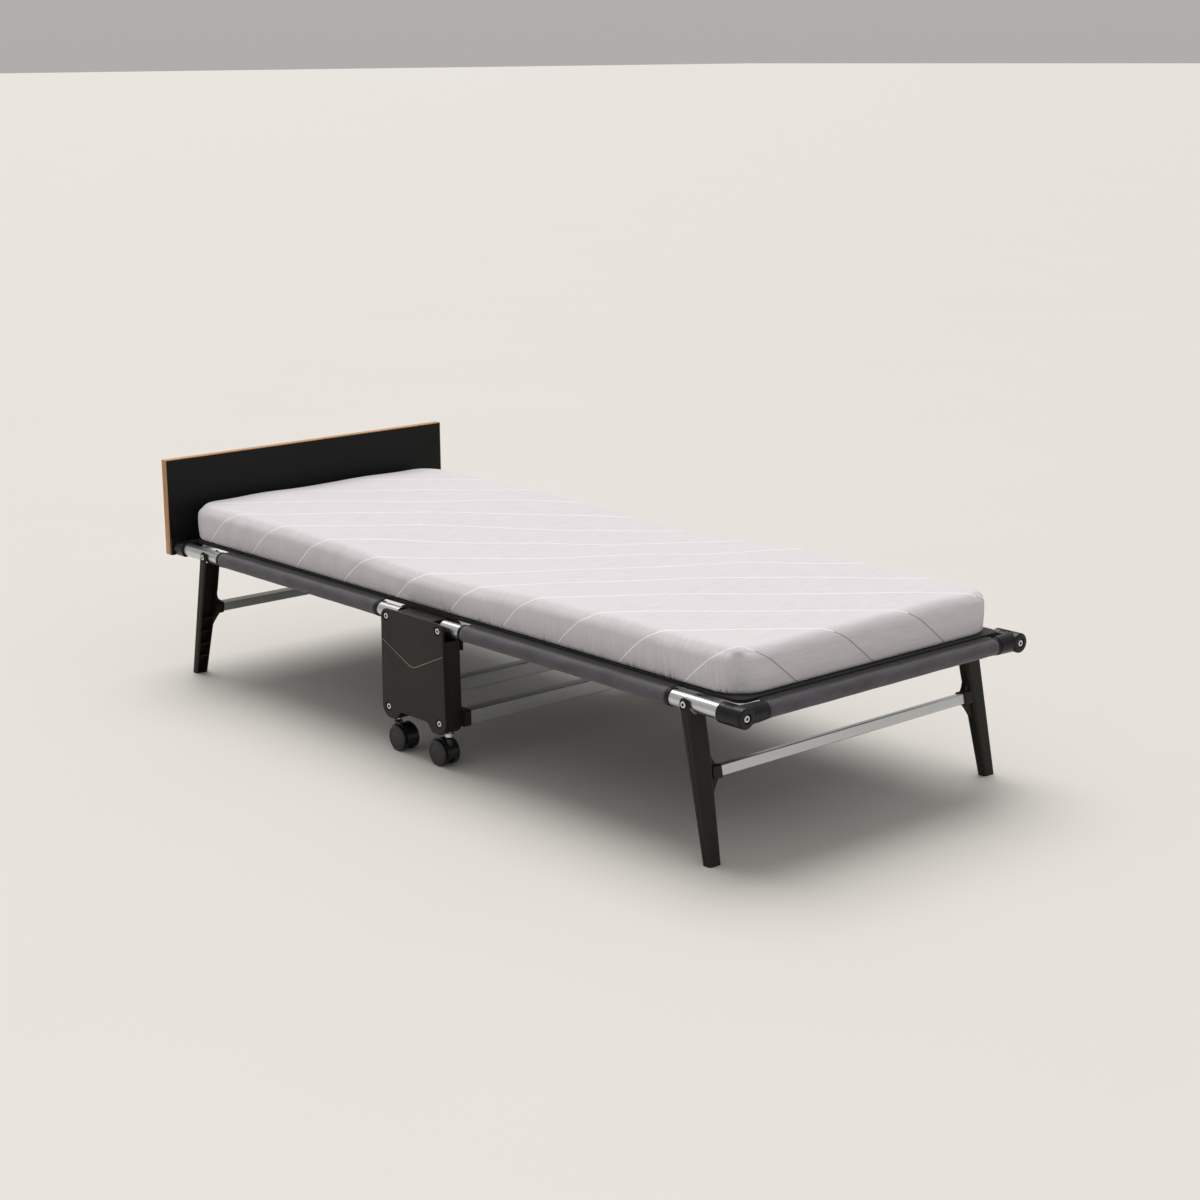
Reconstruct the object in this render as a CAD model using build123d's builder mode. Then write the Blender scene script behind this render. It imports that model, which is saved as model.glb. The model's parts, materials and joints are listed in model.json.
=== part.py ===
"""Folding guest bed: two tubular half frames that fold upwards on a castor-mounted centre hinge.

Millimetres. +X runs from the headboard to the foot end, +Z is up, and the left side is -Y.
The origin is on the floor, midway along and across the bed.
"""

import os
from math import cos, radians, sin, sqrt

from build123d import *

os.makedirs("parts", exist_ok=True)

# Layout of the frame. Distances along a half frame are measured from its fold pivot.
HEAD, FOOT = -1, 1
rail_height = 284.0  # rail axis above the floor
rail_y = 370.0  # rail axis from the middle plane
pivot_offset = 86.0  # each fold pivot from the hinge centre
head_reach = 874.0  # head pivot to the back of the headboard
foot_reach = 835.0  # foot pivot to the end faces of the corner connectors
hinge_x = (head_reach - foot_reach) / 2

# Fits
running = 0.05  # radial play of anything that turns
seated = 0.05  # play of anything pushed home inside one assembly
apart = 0.3  # gap between parts that move past each other

# Round tubes
tube_r = 15.0
tube_wall = 1.5
rail_overhang = 14.0  # rail past its fold pivot
plug_length = 30.0

# Sleeves and collars
sleeve_thickness = 1.2
sleeve_start = {HEAD: 63.0, FOOT: 54.0}
sleeve_to_leg = {HEAD: 58.0, FOOT: 54.0}
collar_length = 9.0
collar_r = tube_r + 2.0
collar_chamfer = 0.8

# Screws, bolts and pins
pin_r = 4.0
screw_head_r = 6.5
screw_head_depth = 2.8
screw_recess_r = 9.5
screw_recess_depth = 3.0
screw_shank_r = 3.0
hex_across_flats = 5.8
hex_depth = 2.4
screw_chamfer = 0.7
screw_tip_gap = 1.0  # screw tip to the bottom of its hole
nut_r = 7.0
nut_depth = 4.5

# Hinge cover and housing
cover_face_y = rail_y + 31.0
cover_thickness = 5.0
cover_chamfer = 1.2
cover_top_z = rail_height + tube_r
cover_bottom_z = 69.0
cover_top_half = 103.0
cover_bottom_half = 107.0
cover_top_corner = 18.0
lobe_corner = 26.0
lobe_inner_half = 62.0
lobe_inner_corner = 9.0
notch_half = 44.0
notch_z = 88.0
notch_corner = 8.0
groove_side_z = cover_top_z - 61.0
groove_tip_z = cover_top_z - 109.0
groove_width = 1.8
groove_depth = 0.8
groove_tip_r = 34.0
groove_overrun = 4.0
housing_inset = 0.6
housing_wall = 3.5
housing_inner_y = rail_y - 11.0
housing_below_rail = tube_r + 6.5  # top of the housing box below the rail axis
castor_block_z = 118.0  # solid foot of the housing that carries the castors
ear_thickness = 4.0
ear_gap = 1.0  # rail to ear
ear_bottom_drop = 44.0  # foot of the ear below the rail axis
spacer_r = 9.0
cap_half = 60.0
cap_depth = 13.0
cap_wall = 2.5
cap_edge = 3.0
cover_screw_x = 85.0
cover_screw_z = 93.0
cover_screw_length = 12.0

# Cross rails between the two housings
cross_rail_x = 100.0
cross_rail_z = 101.0
cross_rail_width = 28.0
cross_rail_depth = 30.0
cross_rail_corner = 2.0
socket_wall = 1.8
socket_depth = 16.0
socket_floor = 3.0

# Castors
castor_x = 86.0
castor_y = rail_y + 6.0
castor_trail = 18.0
wheel_r = 27.0
wheel_inner_y = 7.2
wheel_outer_y = 20.5
wheel_edge = 3.5
wheel_ring_r = 20.0
wheel_ring_width = 1.0
wheel_ring_depth = 0.8
hood_gap = 1.2
hood_thickness = 2.8
hood_half = 13.0
hood_web_half = 6.5
axle_r = 3.0
axle_half = 18.8
stem_r = 5.5
stem_top_z = 108.0
stem_boss_r = 8.5
stem_boss_top_z = 58.0
stem_seat_z = 40.0
bush_r = 7.5
bush_flange_r = 9.5
bush_flange_depth = 7.0
bush_top_z = 110.0

# Legs
leg_from_end = {HEAD: 154.0, FOOT: 138.0}
leg_splay = 11.6
leg_face_y = tube_r + 6.5  # outer face of the leg from the rail axis
leg_inner_y = tube_r + 6.0  # inner face of the leg from the rail axis
leg_channel_half = tube_r + 3.0
leg_cap_r = 13.0
leg_foot_front = 12.0
leg_foot_back = 9.0
leg_web_inner = 9.5
leg_taper_start = 80.0
leg_foot_inner_y = 8.0
leg_corner = 7.0
leg_saddle_drop = 3.0
leg_solid_foot = 16.0
leg_side_wall = 3.0
leg_boss_r = 11.0
leg_recess_depth = 2.5
leg_crease_width = 1.2
leg_crease_depth = 0.8
leg_crease_start = 20.8
leg_crease_drift = 1.0
leg_floor_trim = 12.0
rib_thickness = 2.5
rib_drops = (152.0, 184.0, 216.0, 246.0)
crossbar_drop = 130.0
crossbar_size = 20.0
crossbar_corner = 2.0
crossbar_half = rail_y - 22.0
leg_socket_wall = 3.0
leg_socket_reach = 38.0  # mouth of the crossbar socket from the rail axis
gusset_half = 6.0
gusset_rise = 34.0
gusset_bow = 8.0
gusset_bow_share = 0.42
bar_end_gap = 1.0

# Foot corner connectors and the end tubes
connector_r = tube_r + 4.5
connector_length = 59.0
connector_end_wall = 24.0
connector_edge = 4.0
end_tube_inset = 20.0  # end tube axis inside the connector's end face
end_tube_half = rail_y - 20.0
end_socket_y = rail_y - 52.0
end_socket_r = tube_r + 3.0
fin_groove_width = 3.0
fin_groove_pitch = 6.0
fin_groove_count = 4
fin_core_height = 16.8

# Headboard and its brackets
board_thickness = 18.0
board_half_width = rail_y + 24.0
board_bottom_z = rail_height - 16.0
board_top_z = rail_height + 205.0
edging_thickness = 1.5
bracket_length = 43.0
bracket_flange = 6.0
bracket_flange_width = 46.0
bracket_flange_height = 52.0
bracket_flange_corner = 6.0
bracket_rail_gap = 8.0
head_tube_inset = 19.0  # head end tube axis in front of the board
head_socket_y = rail_y - 40.0

# Deck and mattress
deck_half_width = rail_y - 20.8
deck_bottom_z = rail_height + tube_r - 0.5
deck_thickness = 6.0
deck_hinge_gap = 3.0
deck_end_gap = 17.0  # deck edge to the axis of the end tube
mattress_half_width = rail_y - 20.8
mattress_bottom_z = deck_bottom_z + deck_thickness + 0.5
mattress_end_z = mattress_bottom_z + 83.0
mattress_fold_r = 84.0  # round end of each mattress half about its fold pivot
mattress_foot_inset = 44.0  # mattress end inside the connector faces
mattress_board_gap = 17.0
mattress_edge = 20.0

# Sizes that follow from the ones above
rail_inner_r = tube_r - tube_wall
sleeve_r = tube_r + sleeve_thickness
board_front = head_reach - board_thickness
leg_pivot = {HEAD: head_reach - leg_from_end[HEAD], FOOT: foot_reach - leg_from_end[FOOT]}
rail_end = {HEAD: board_front - bracket_rail_gap, FOOT: foot_reach - connector_end_wall}
end_tube = {HEAD: board_front - head_tube_inset, FOOT: foot_reach - end_tube_inset}
cover_back_y = cover_face_y - cover_thickness
ear_outer_y = rail_y - tube_r - ear_gap
ear_inner_y = ear_outer_y - ear_thickness
housing_top_z = rail_height - housing_below_rail
axle_x = hinge_x + castor_x - castor_trail
wheel_z = wheel_r
hood_inner_r = wheel_r + hood_gap
hood_r = hood_inner_r + hood_thickness
leg_length = rail_height / cos(radians(leg_splay)) + leg_floor_trim


def along(end, distance):
    """X of a point at this distance out from the fold pivot of one end."""
    return hinge_x + end * (pivot_offset + distance)


def write(part, label):
    """Write one finished piece."""
    part.label = label
    export_step(part, f"parts/{label}.step")


def write_both_sides(part, label):
    """Write a piece made for the left side, and its mirror image for the right."""
    write(part, f"{label}_left")
    write(mirror(part, about=Plane.XZ), f"{label}_right")


def rail_plane(end, distance):
    """Plane across the left rail, facing outwards along its half frame."""
    origin = (along(end, distance), -rail_y, rail_height)
    return Plane(origin=origin, x_dir=(0, 1, 0), z_dir=(end, 0, 0))


def side_plane(x, y, z):
    """Upright plane that faces the left side of the bed, with its own origin."""
    return Plane(origin=(x, y, z), x_dir=(1, 0, 0), z_dir=(0, -1, 0))


# ---------------------------------------------------------------- rails and what is on them


def make_rail(end):
    """Aluminium side rail, drilled for its hinge pin and its leg bolt."""
    with BuildPart() as rail:
        with BuildSketch(rail_plane(end, -rail_overhang)):
            Circle(tube_r)
            Circle(rail_inner_r, mode=Mode.SUBTRACT)
        extrude(amount=rail_end[end] + rail_overhang)
        for distance in (0, leg_pivot[end]):
            with Locations((along(end, distance), -rail_y, rail_height)):
                Cylinder(pin_r + running, 3 * tube_r, rotation=(90, 0, 0), mode=Mode.SUBTRACT)
    return rail.part


def make_sleeve(end):
    """Woven sleeve round the rail, where the deck wraps it."""
    length = leg_pivot[end] - sleeve_to_leg[end] - sleeve_start[end]
    with BuildPart() as sleeve:
        with BuildSketch(rail_plane(end, sleeve_start[end])):
            Circle(sleeve_r)
            Circle(tube_r + seated, mode=Mode.SUBTRACT)
        extrude(amount=length)
    return sleeve.part


def make_collars(end):
    """The rings that close both ends of both sleeves of one half frame."""
    outer_start = leg_pivot[end] - sleeve_to_leg[end]
    with BuildPart() as collars:
        for start in (sleeve_start[end] - collar_length, outer_start):
            with BuildSketch(rail_plane(end, start)):
                Circle(collar_r)
                Circle(tube_r + seated, mode=Mode.SUBTRACT)
            extrude(amount=collar_length)
        chamfer(collars.edges().filter_by(GeomType.CIRCLE).group_by(SortBy.RADIUS)[-1], collar_chamfer)
        mirror(about=Plane.XZ)
    return collars.part


def make_rail_plugs(end):
    """Moulded plugs in the inner rail ends, which turn on the hinge pins."""
    with BuildPart() as plugs:
        with BuildSketch(rail_plane(end, -rail_overhang)):
            Circle(rail_inner_r - seated)
        extrude(amount=plug_length)
        with Locations((along(end, 0), -rail_y, rail_height)):
            Cylinder(pin_r + running, 3 * tube_r, rotation=(90, 0, 0), mode=Mode.SUBTRACT)
        mirror(about=Plane.XZ)
    return plugs.part


def make_leg_bolts(end):
    """Shoulder bolts through the rails, on which the two legs of one end turn."""
    x = along(end, leg_pivot[end])
    head_y = rail_y + leg_face_y - leg_recess_depth + apart
    nut_y = rail_y - leg_inner_y - apart
    with BuildPart() as bolts:
        with BuildSketch(side_plane(x, -head_y, rail_height)):
            Circle(screw_head_r)
        extrude(amount=screw_head_depth)
        chamfer(bolts.faces().sort_by(Axis.Y)[0].edges(), screw_chamfer)
        with BuildSketch(side_plane(x, -head_y - screw_head_depth, rail_height)):
            RegularPolygon(hex_across_flats / 2, 6, major_radius=False)
        extrude(amount=-hex_depth, mode=Mode.SUBTRACT)
        with BuildSketch(side_plane(x, -nut_y, rail_height)):
            Circle(pin_r)
        extrude(amount=head_y - nut_y)
        with BuildSketch(side_plane(x, -nut_y + nut_depth, rail_height)):
            RegularPolygon(nut_r, 6)
        extrude(amount=nut_depth)
        mirror(about=Plane.XZ)
    return bolts.part


for end, name in ((HEAD, "head"), (FOOT, "foot")):
    write_both_sides(make_rail(end), f"{name}_rail")
    write_both_sides(make_sleeve(end), f"{name}_sleeve")
    write(make_collars(end), f"{name}_collars")
    write(make_rail_plugs(end), f"{name}_rail_plugs")
    write(make_leg_bolts(end), f"{name}_leg_bolts")


# ---------------------------------------------------------------- centre hinge


def draw_hinge_outline(inset=0.0):
    """Face of the hinge unit: rounded top, and two lobes that carry the castors."""
    right = [
        (cover_top_half - inset, cover_top_z - inset),
        (cover_bottom_half - inset, cover_bottom_z + inset),
        (lobe_inner_half + inset, cover_bottom_z + inset),
        (notch_half + inset, notch_z + inset),
    ]
    left = [(-x, z) for x, z in reversed(right)]
    radii = (cover_top_corner, lobe_corner, lobe_inner_corner, notch_corner)
    with BuildSketch(Plane.XY) as outline:
        Polygon(*right, *left, align=None)
        for (x, z), radius in zip(right, radii):
            for corner in ((x, z), (-x, z)):
                fillet(outline.vertices().sort_by_distance(corner)[0], radius)
    return outline.sketch


def make_hinge_cover():
    """Moulded face plate with a shallow V groove, screw recesses and two pin spacers."""
    with BuildPart() as cover:
        with BuildSketch(side_plane(hinge_x, -cover_face_y, 0)):
            add(draw_hinge_outline())
        extrude(amount=-cover_thickness)
        chamfer(cover.faces().sort_by(Axis.Y)[0].edges(), cover_chamfer)
        with BuildSketch(side_plane(hinge_x, -cover_face_y, 0)):
            with BuildLine() as groove:
                side = cover_bottom_half + groove_overrun
                points = ((-side, groove_side_z), (0, groove_tip_z), (side, groove_side_z))
                FilletPolyline(*points, radius=groove_tip_r)
            trace(line_width=groove_width)
        extrude(amount=-groove_depth, mode=Mode.SUBTRACT)
        for x in (-pivot_offset, pivot_offset):
            with BuildSketch(side_plane(hinge_x + x, -cover_back_y, rail_height)):
                Circle(spacer_r)
            extrude(amount=-(cover_back_y - rail_y - tube_r - 2 * apart))
        places = [(x, rail_height, pin_r) for x in (-pivot_offset, pivot_offset)]
        places += [(x, cover_screw_z, screw_shank_r) for x in (-cover_screw_x, cover_screw_x)]
        for x, z, hole_r in places:
            with BuildSketch(side_plane(hinge_x + x, -cover_face_y, z)):
                Circle(screw_recess_r)
            extrude(amount=-screw_recess_depth, mode=Mode.SUBTRACT)
            with BuildSketch(side_plane(hinge_x + x, -cover_face_y, z)):
                Circle(hole_r + seated)
            extrude(amount=-3 * tube_r, mode=Mode.SUBTRACT)
    return cover.part


def make_hinge_housing():
    """Moulded box behind the cover: open on the cover side, solid where the castors plug in."""
    with BuildPart() as housing:
        with BuildSketch(side_plane(hinge_x, -cover_back_y, 0)):
            add(draw_hinge_outline(housing_inset))
            with Locations((0, cover_top_z)):
                trim = 2 * (cover_top_z - housing_top_z)
                Rectangle(3 * cover_top_half, trim, mode=Mode.SUBTRACT)
        extrude(amount=-(cover_back_y - housing_inner_y))
        pocket_half = cover_top_half - housing_inset - housing_wall
        with BuildSketch(side_plane(hinge_x, -cover_back_y, 0)):
            pocket_height = housing_top_z - castor_block_z
            with Locations((0, castor_block_z + pocket_height)):
                Rectangle(2 * pocket_half, 2 * pocket_height)
            with Locations((0, castor_block_z)):
                low_wall = castor_block_z - notch_z - 2 * housing_wall
                Rectangle(2 * notch_half, 2 * low_wall)
        depth = cover_back_y - housing_inner_y - housing_wall
        extrude(amount=-depth, mode=Mode.SUBTRACT)
        for x in (-notch_half, notch_half):
            rib_height = housing_top_z - castor_block_z - 2 * housing_wall
            with Locations((hinge_x + x, -(cover_back_y - depth / 2), castor_block_z + rib_height / 2)):
                Box(rib_thickness, depth, rib_height)
        with BuildSketch(side_plane(hinge_x, -ear_outer_y, 0)):
            add(draw_hinge_outline(housing_inset))
            ear_bottom_z = rail_height - ear_bottom_drop
            with Locations((0, ear_bottom_z / 2)):
                Rectangle(3 * cover_bottom_half, ear_bottom_z, mode=Mode.SUBTRACT)
        extrude(amount=-ear_thickness)
        jog_height = housing_top_z - ear_bottom_z
        jog_depth = housing_inner_y + housing_wall - ear_outer_y
        jog_y = -(ear_outer_y + jog_depth / 2)
        with Locations((hinge_x, jog_y, ear_bottom_z + jog_height / 2)):
            Box(2 * pocket_half, jog_depth, jog_height)
        for x in (-castor_x, castor_x):
            with Locations((hinge_x + x, -castor_y, 0)):
                shape = (bush_r + seated, bush_top_z + seated)
                Cylinder(*shape, align=(Align.CENTER, Align.CENTER, Align.MIN), mode=Mode.SUBTRACT)
        for x in (-pivot_offset, pivot_offset):
            with BuildSketch(side_plane(hinge_x + x, -cover_back_y, rail_height)):
                Circle(pin_r + seated)
            extrude(amount=-4 * tube_r, mode=Mode.SUBTRACT)
        for x in (-cover_screw_x, cover_screw_x):
            with BuildSketch(side_plane(hinge_x + x, -cover_back_y, cover_screw_z)):
                Circle(screw_shank_r + seated)
            extrude(amount=-cover_screw_length, mode=Mode.SUBTRACT)
    return housing.part


def make_hinge_cap():
    """Cap that closes the top of the hinge unit between its two rails."""
    width = cover_back_y - ear_outer_y - 2 * seated
    centre_y = -(cover_back_y + ear_outer_y) / 2
    with BuildPart() as cap:
        with Locations((hinge_x, centre_y, cover_top_z - housing_inset - cap_depth / 2)):
            Box(2 * cap_half, width, cap_depth)
        ends = cap.faces().filter_by(Axis.X)
        fillet([edge for end_face in ends for edge in end_face.edges().group_by(Axis.Z)[-1]], cap_edge)
        offset(amount=-cap_wall, openings=cap.faces().sort_by(Axis.Z)[0])
    return cap.part


def make_screw(x, z, shank_r, shank_end_y):
    """Round-head screw with a hexagon socket, set into a recess of the cover."""
    seat_y = cover_face_y - screw_recess_depth
    with BuildPart() as screw:
        with BuildSketch(side_plane(x, -seat_y, z)):
            Circle(screw_head_r)
        extrude(amount=screw_head_depth)
        chamfer(screw.faces().sort_by(Axis.Y)[0].edges(), screw_chamfer)
        with BuildSketch(side_plane(x, -seat_y - screw_head_depth, z)):
            RegularPolygon(hex_across_flats / 2, 6, major_radius=False)
        extrude(amount=-hex_depth, mode=Mode.SUBTRACT)
        with BuildSketch(side_plane(x, -seat_y, z)):
            Circle(shank_r)
        extrude(amount=-(seat_y - shank_end_y))
    return screw.part


def make_hinge_pins():
    """Four shoulder screws through cover, rail and ear, each with its nut inside."""
    with BuildPart() as pins:
        for x in (-pivot_offset, pivot_offset):
            add(make_screw(hinge_x + x, rail_height, pin_r, ear_inner_y))
            with BuildSketch(side_plane(hinge_x + x, -ear_inner_y + nut_depth / 2, rail_height)):
                RegularPolygon(nut_r, 6)
            extrude(amount=nut_depth / 2)
        mirror(about=Plane.XZ)
    return pins.part


def make_cover_screws():
    """Four screws that hold the covers to the feet of the housings."""
    end_y = cover_back_y - cover_screw_length + screw_tip_gap
    with BuildPart() as screws:
        for x in (-cover_screw_x, cover_screw_x):
            add(make_screw(hinge_x + x, cover_screw_z, screw_shank_r, end_y))
        mirror(about=Plane.XZ)
    return screws.part


def make_cross_rail():
    """Rectangular tube across the bed, ending in a socket on each housing."""
    half = housing_inner_y - socket_floor - seated
    with BuildPart() as rail:
        with BuildSketch(side_plane(hinge_x + cross_rail_x, 0, cross_rail_z)):
            RectangleRounded(cross_rail_width, cross_rail_depth, cross_rail_corner)
            inner = (cross_rail_width - 2 * tube_wall, cross_rail_depth - 2 * tube_wall)
            RectangleRounded(*inner, cross_rail_corner / 2, mode=Mode.SUBTRACT)
        extrude(amount=half, both=True)
    return rail.part


def make_rail_sockets():
    """The four moulded sockets that hold the cross rails."""
    outer = (cross_rail_width + 2 * socket_wall, cross_rail_depth + 2 * socket_wall)
    hole = (cross_rail_width + 2 * seated, cross_rail_depth + 2 * seated)
    with BuildPart() as sockets:
        for x in (-cross_rail_x, cross_rail_x):
            with BuildSketch(side_plane(hinge_x + x, -housing_inner_y + socket_depth, cross_rail_z)):
                RectangleRounded(*outer, cross_rail_corner + socket_wall)
            extrude(amount=socket_depth)
            with BuildSketch(side_plane(hinge_x + x, -housing_inner_y + socket_depth, cross_rail_z)):
                RectangleRounded(*hole, cross_rail_corner)
            extrude(amount=socket_depth - socket_floor, mode=Mode.SUBTRACT)
        mirror(about=Plane.XZ)
    return sockets.part


def make_castor_bushes():
    """Plated bushes in the lobes, with the collar that shows above each castor."""
    with BuildPart() as bushes:
        for x in (-castor_x, castor_x):
            with BuildSketch(Plane.XY.offset(cover_bottom_z + housing_inset)):
                with Locations((hinge_x + x, -castor_y)):
                    Circle(bush_r)
            extrude(amount=bush_top_z - cover_bottom_z - housing_inset)
            with BuildSketch(Plane.XY.offset(cover_bottom_z + housing_inset - bush_flange_depth)):
                with Locations((hinge_x + x, -castor_y)):
                    Circle(bush_flange_r)
            extrude(amount=bush_flange_depth)
            with Locations((hinge_x + x, -castor_y, 0)):
                Cylinder(stem_r + running, 3 * bush_top_z, mode=Mode.SUBTRACT)
        mirror(about=Plane.XZ)
    return bushes.part


write_both_sides(make_hinge_cover(), "hinge_cover")
write_both_sides(make_hinge_housing(), "hinge_housing")
write_both_sides(make_hinge_cap(), "hinge_cap")
write(make_hinge_pins(), "hinge_pins")
write(make_cover_screws(), "cover_screws")
cross_rail = make_cross_rail()
write(cross_rail, "cross_rail_foot")
write(mirror(cross_rail, about=Plane.YZ.offset(hinge_x)), "cross_rail_head")
write(make_rail_sockets(), "cross_rail_sockets")
write(make_castor_bushes(), "castor_bushes")


# ---------------------------------------------------------------- castors


def make_castor_hood():
    """Twin-wheel castor body: a web between the wheels, a hood over them and a stem boss."""
    axle_place = (axle_x, -castor_y, wheel_z)
    with BuildPart() as hood:
        with BuildSketch(side_plane(*axle_place)):
            Circle(hood_r)
            with Locations((0, -hood_r - wheel_r / 3)):
                Rectangle(2 * hood_r, 2 * hood_r, mode=Mode.SUBTRACT)
        extrude(amount=hood_half, both=True)
        with BuildSketch(Plane.XY.offset(stem_seat_z)):
            with Locations((hinge_x + castor_x, -castor_y)):
                Circle(stem_boss_r)
        extrude(amount=stem_boss_top_z - stem_seat_z)
        for side in (-1, 1):
            with BuildSketch(side_plane(axle_x, -castor_y + side * hood_web_half, wheel_z)):
                Circle(hood_inner_r)
            extrude(amount=-side * hood_half, mode=Mode.SUBTRACT)
        with BuildSketch(side_plane(*axle_place)):
            Circle(wheel_r / 2)
        extrude(amount=hood_web_half, both=True)
        with Locations((hinge_x + castor_x, -castor_y, stem_seat_z + 2 * wheel_r)):
            Cylinder(stem_r + seated, 4 * wheel_r, mode=Mode.SUBTRACT)
        with Locations(axle_place):
            Cylinder(axle_r + seated, 4 * wheel_r, rotation=(90, 0, 0), mode=Mode.SUBTRACT)
    return hood.part


def make_castor_pins():
    """The castor's steel stem and the axle that its wheels turn on."""
    with BuildPart() as pins:
        with BuildSketch(Plane.XY.offset(stem_seat_z + 2 * wheel_r)):
            with Locations((hinge_x + castor_x, -castor_y)):
                Circle(stem_r)
        extrude(amount=stem_top_z - stem_seat_z - 2 * wheel_r)
        with BuildSketch(side_plane(axle_x, -castor_y, wheel_z)):
            Circle(axle_r)
        extrude(amount=axle_half, both=True)
    return pins.part


def make_castor_wheels():
    """A pair of wheels with rounded treads and a ring groove in each outer face."""
    width = wheel_outer_y - wheel_inner_y
    with BuildPart() as wheels:
        for side in (-1, 1):
            with BuildSketch(side_plane(axle_x, -castor_y + side * wheel_inner_y, wheel_z)):
                Circle(wheel_r)
            extrude(amount=-side * width)
        outer_faces = wheels.faces().sort_by(Axis.Y)
        rims = outer_faces[0].edges() + outer_faces[-1].edges()
        fillet(rims, wheel_edge)
        for side in (-1, 1):
            with BuildSketch(side_plane(axle_x, -castor_y + side * wheel_outer_y, wheel_z)):
                Circle(wheel_ring_r)
                Circle(wheel_ring_r - wheel_ring_width, mode=Mode.SUBTRACT)
            extrude(amount=side * wheel_ring_depth, mode=Mode.SUBTRACT)
        with Locations((axle_x, -castor_y, wheel_z)):
            Cylinder(axle_r + running, 2 * axle_half + 1, rotation=(90, 0, 0), mode=Mode.SUBTRACT)
    return wheels.part


castor_pieces = (
    (make_castor_hood(), "castor_hood"),
    (make_castor_pins(), "castor_pins"),
    (make_castor_wheels(), "castor_wheels"),
)
for piece, name in castor_pieces:
    write_both_sides(piece, f"{name}_foot")
    write_both_sides(mirror(piece, about=Plane.YZ.offset(hinge_x)), f"{name}_head")


# ---------------------------------------------------------------- legs


def leg_side_plane(x, offset_y):
    """Plane along the splayed foot leg, facing left; its origin is on the leg's pivot line."""
    lean = radians(leg_splay)
    return Plane(origin=(x, offset_y, rail_height), x_dir=(cos(lean), 0, sin(lean)), z_dir=(0, -1, 0))


def leg_front_plane(x):
    """Plane across the splayed foot leg, facing outwards; its origin is on the rail axis."""
    lean = radians(leg_splay)
    return Plane(origin=(x, -rail_y, rail_height), x_dir=(0, 1, 0), z_dir=(cos(lean), 0, sin(lean)))


def leg_inner_at(drop):
    """Inner face of the leg from the rail axis, this far down the leg."""
    share = (drop - leg_taper_start) / (leg_length - leg_taper_start)
    return leg_inner_y - share * (leg_inner_y - leg_foot_inner_y)


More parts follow.
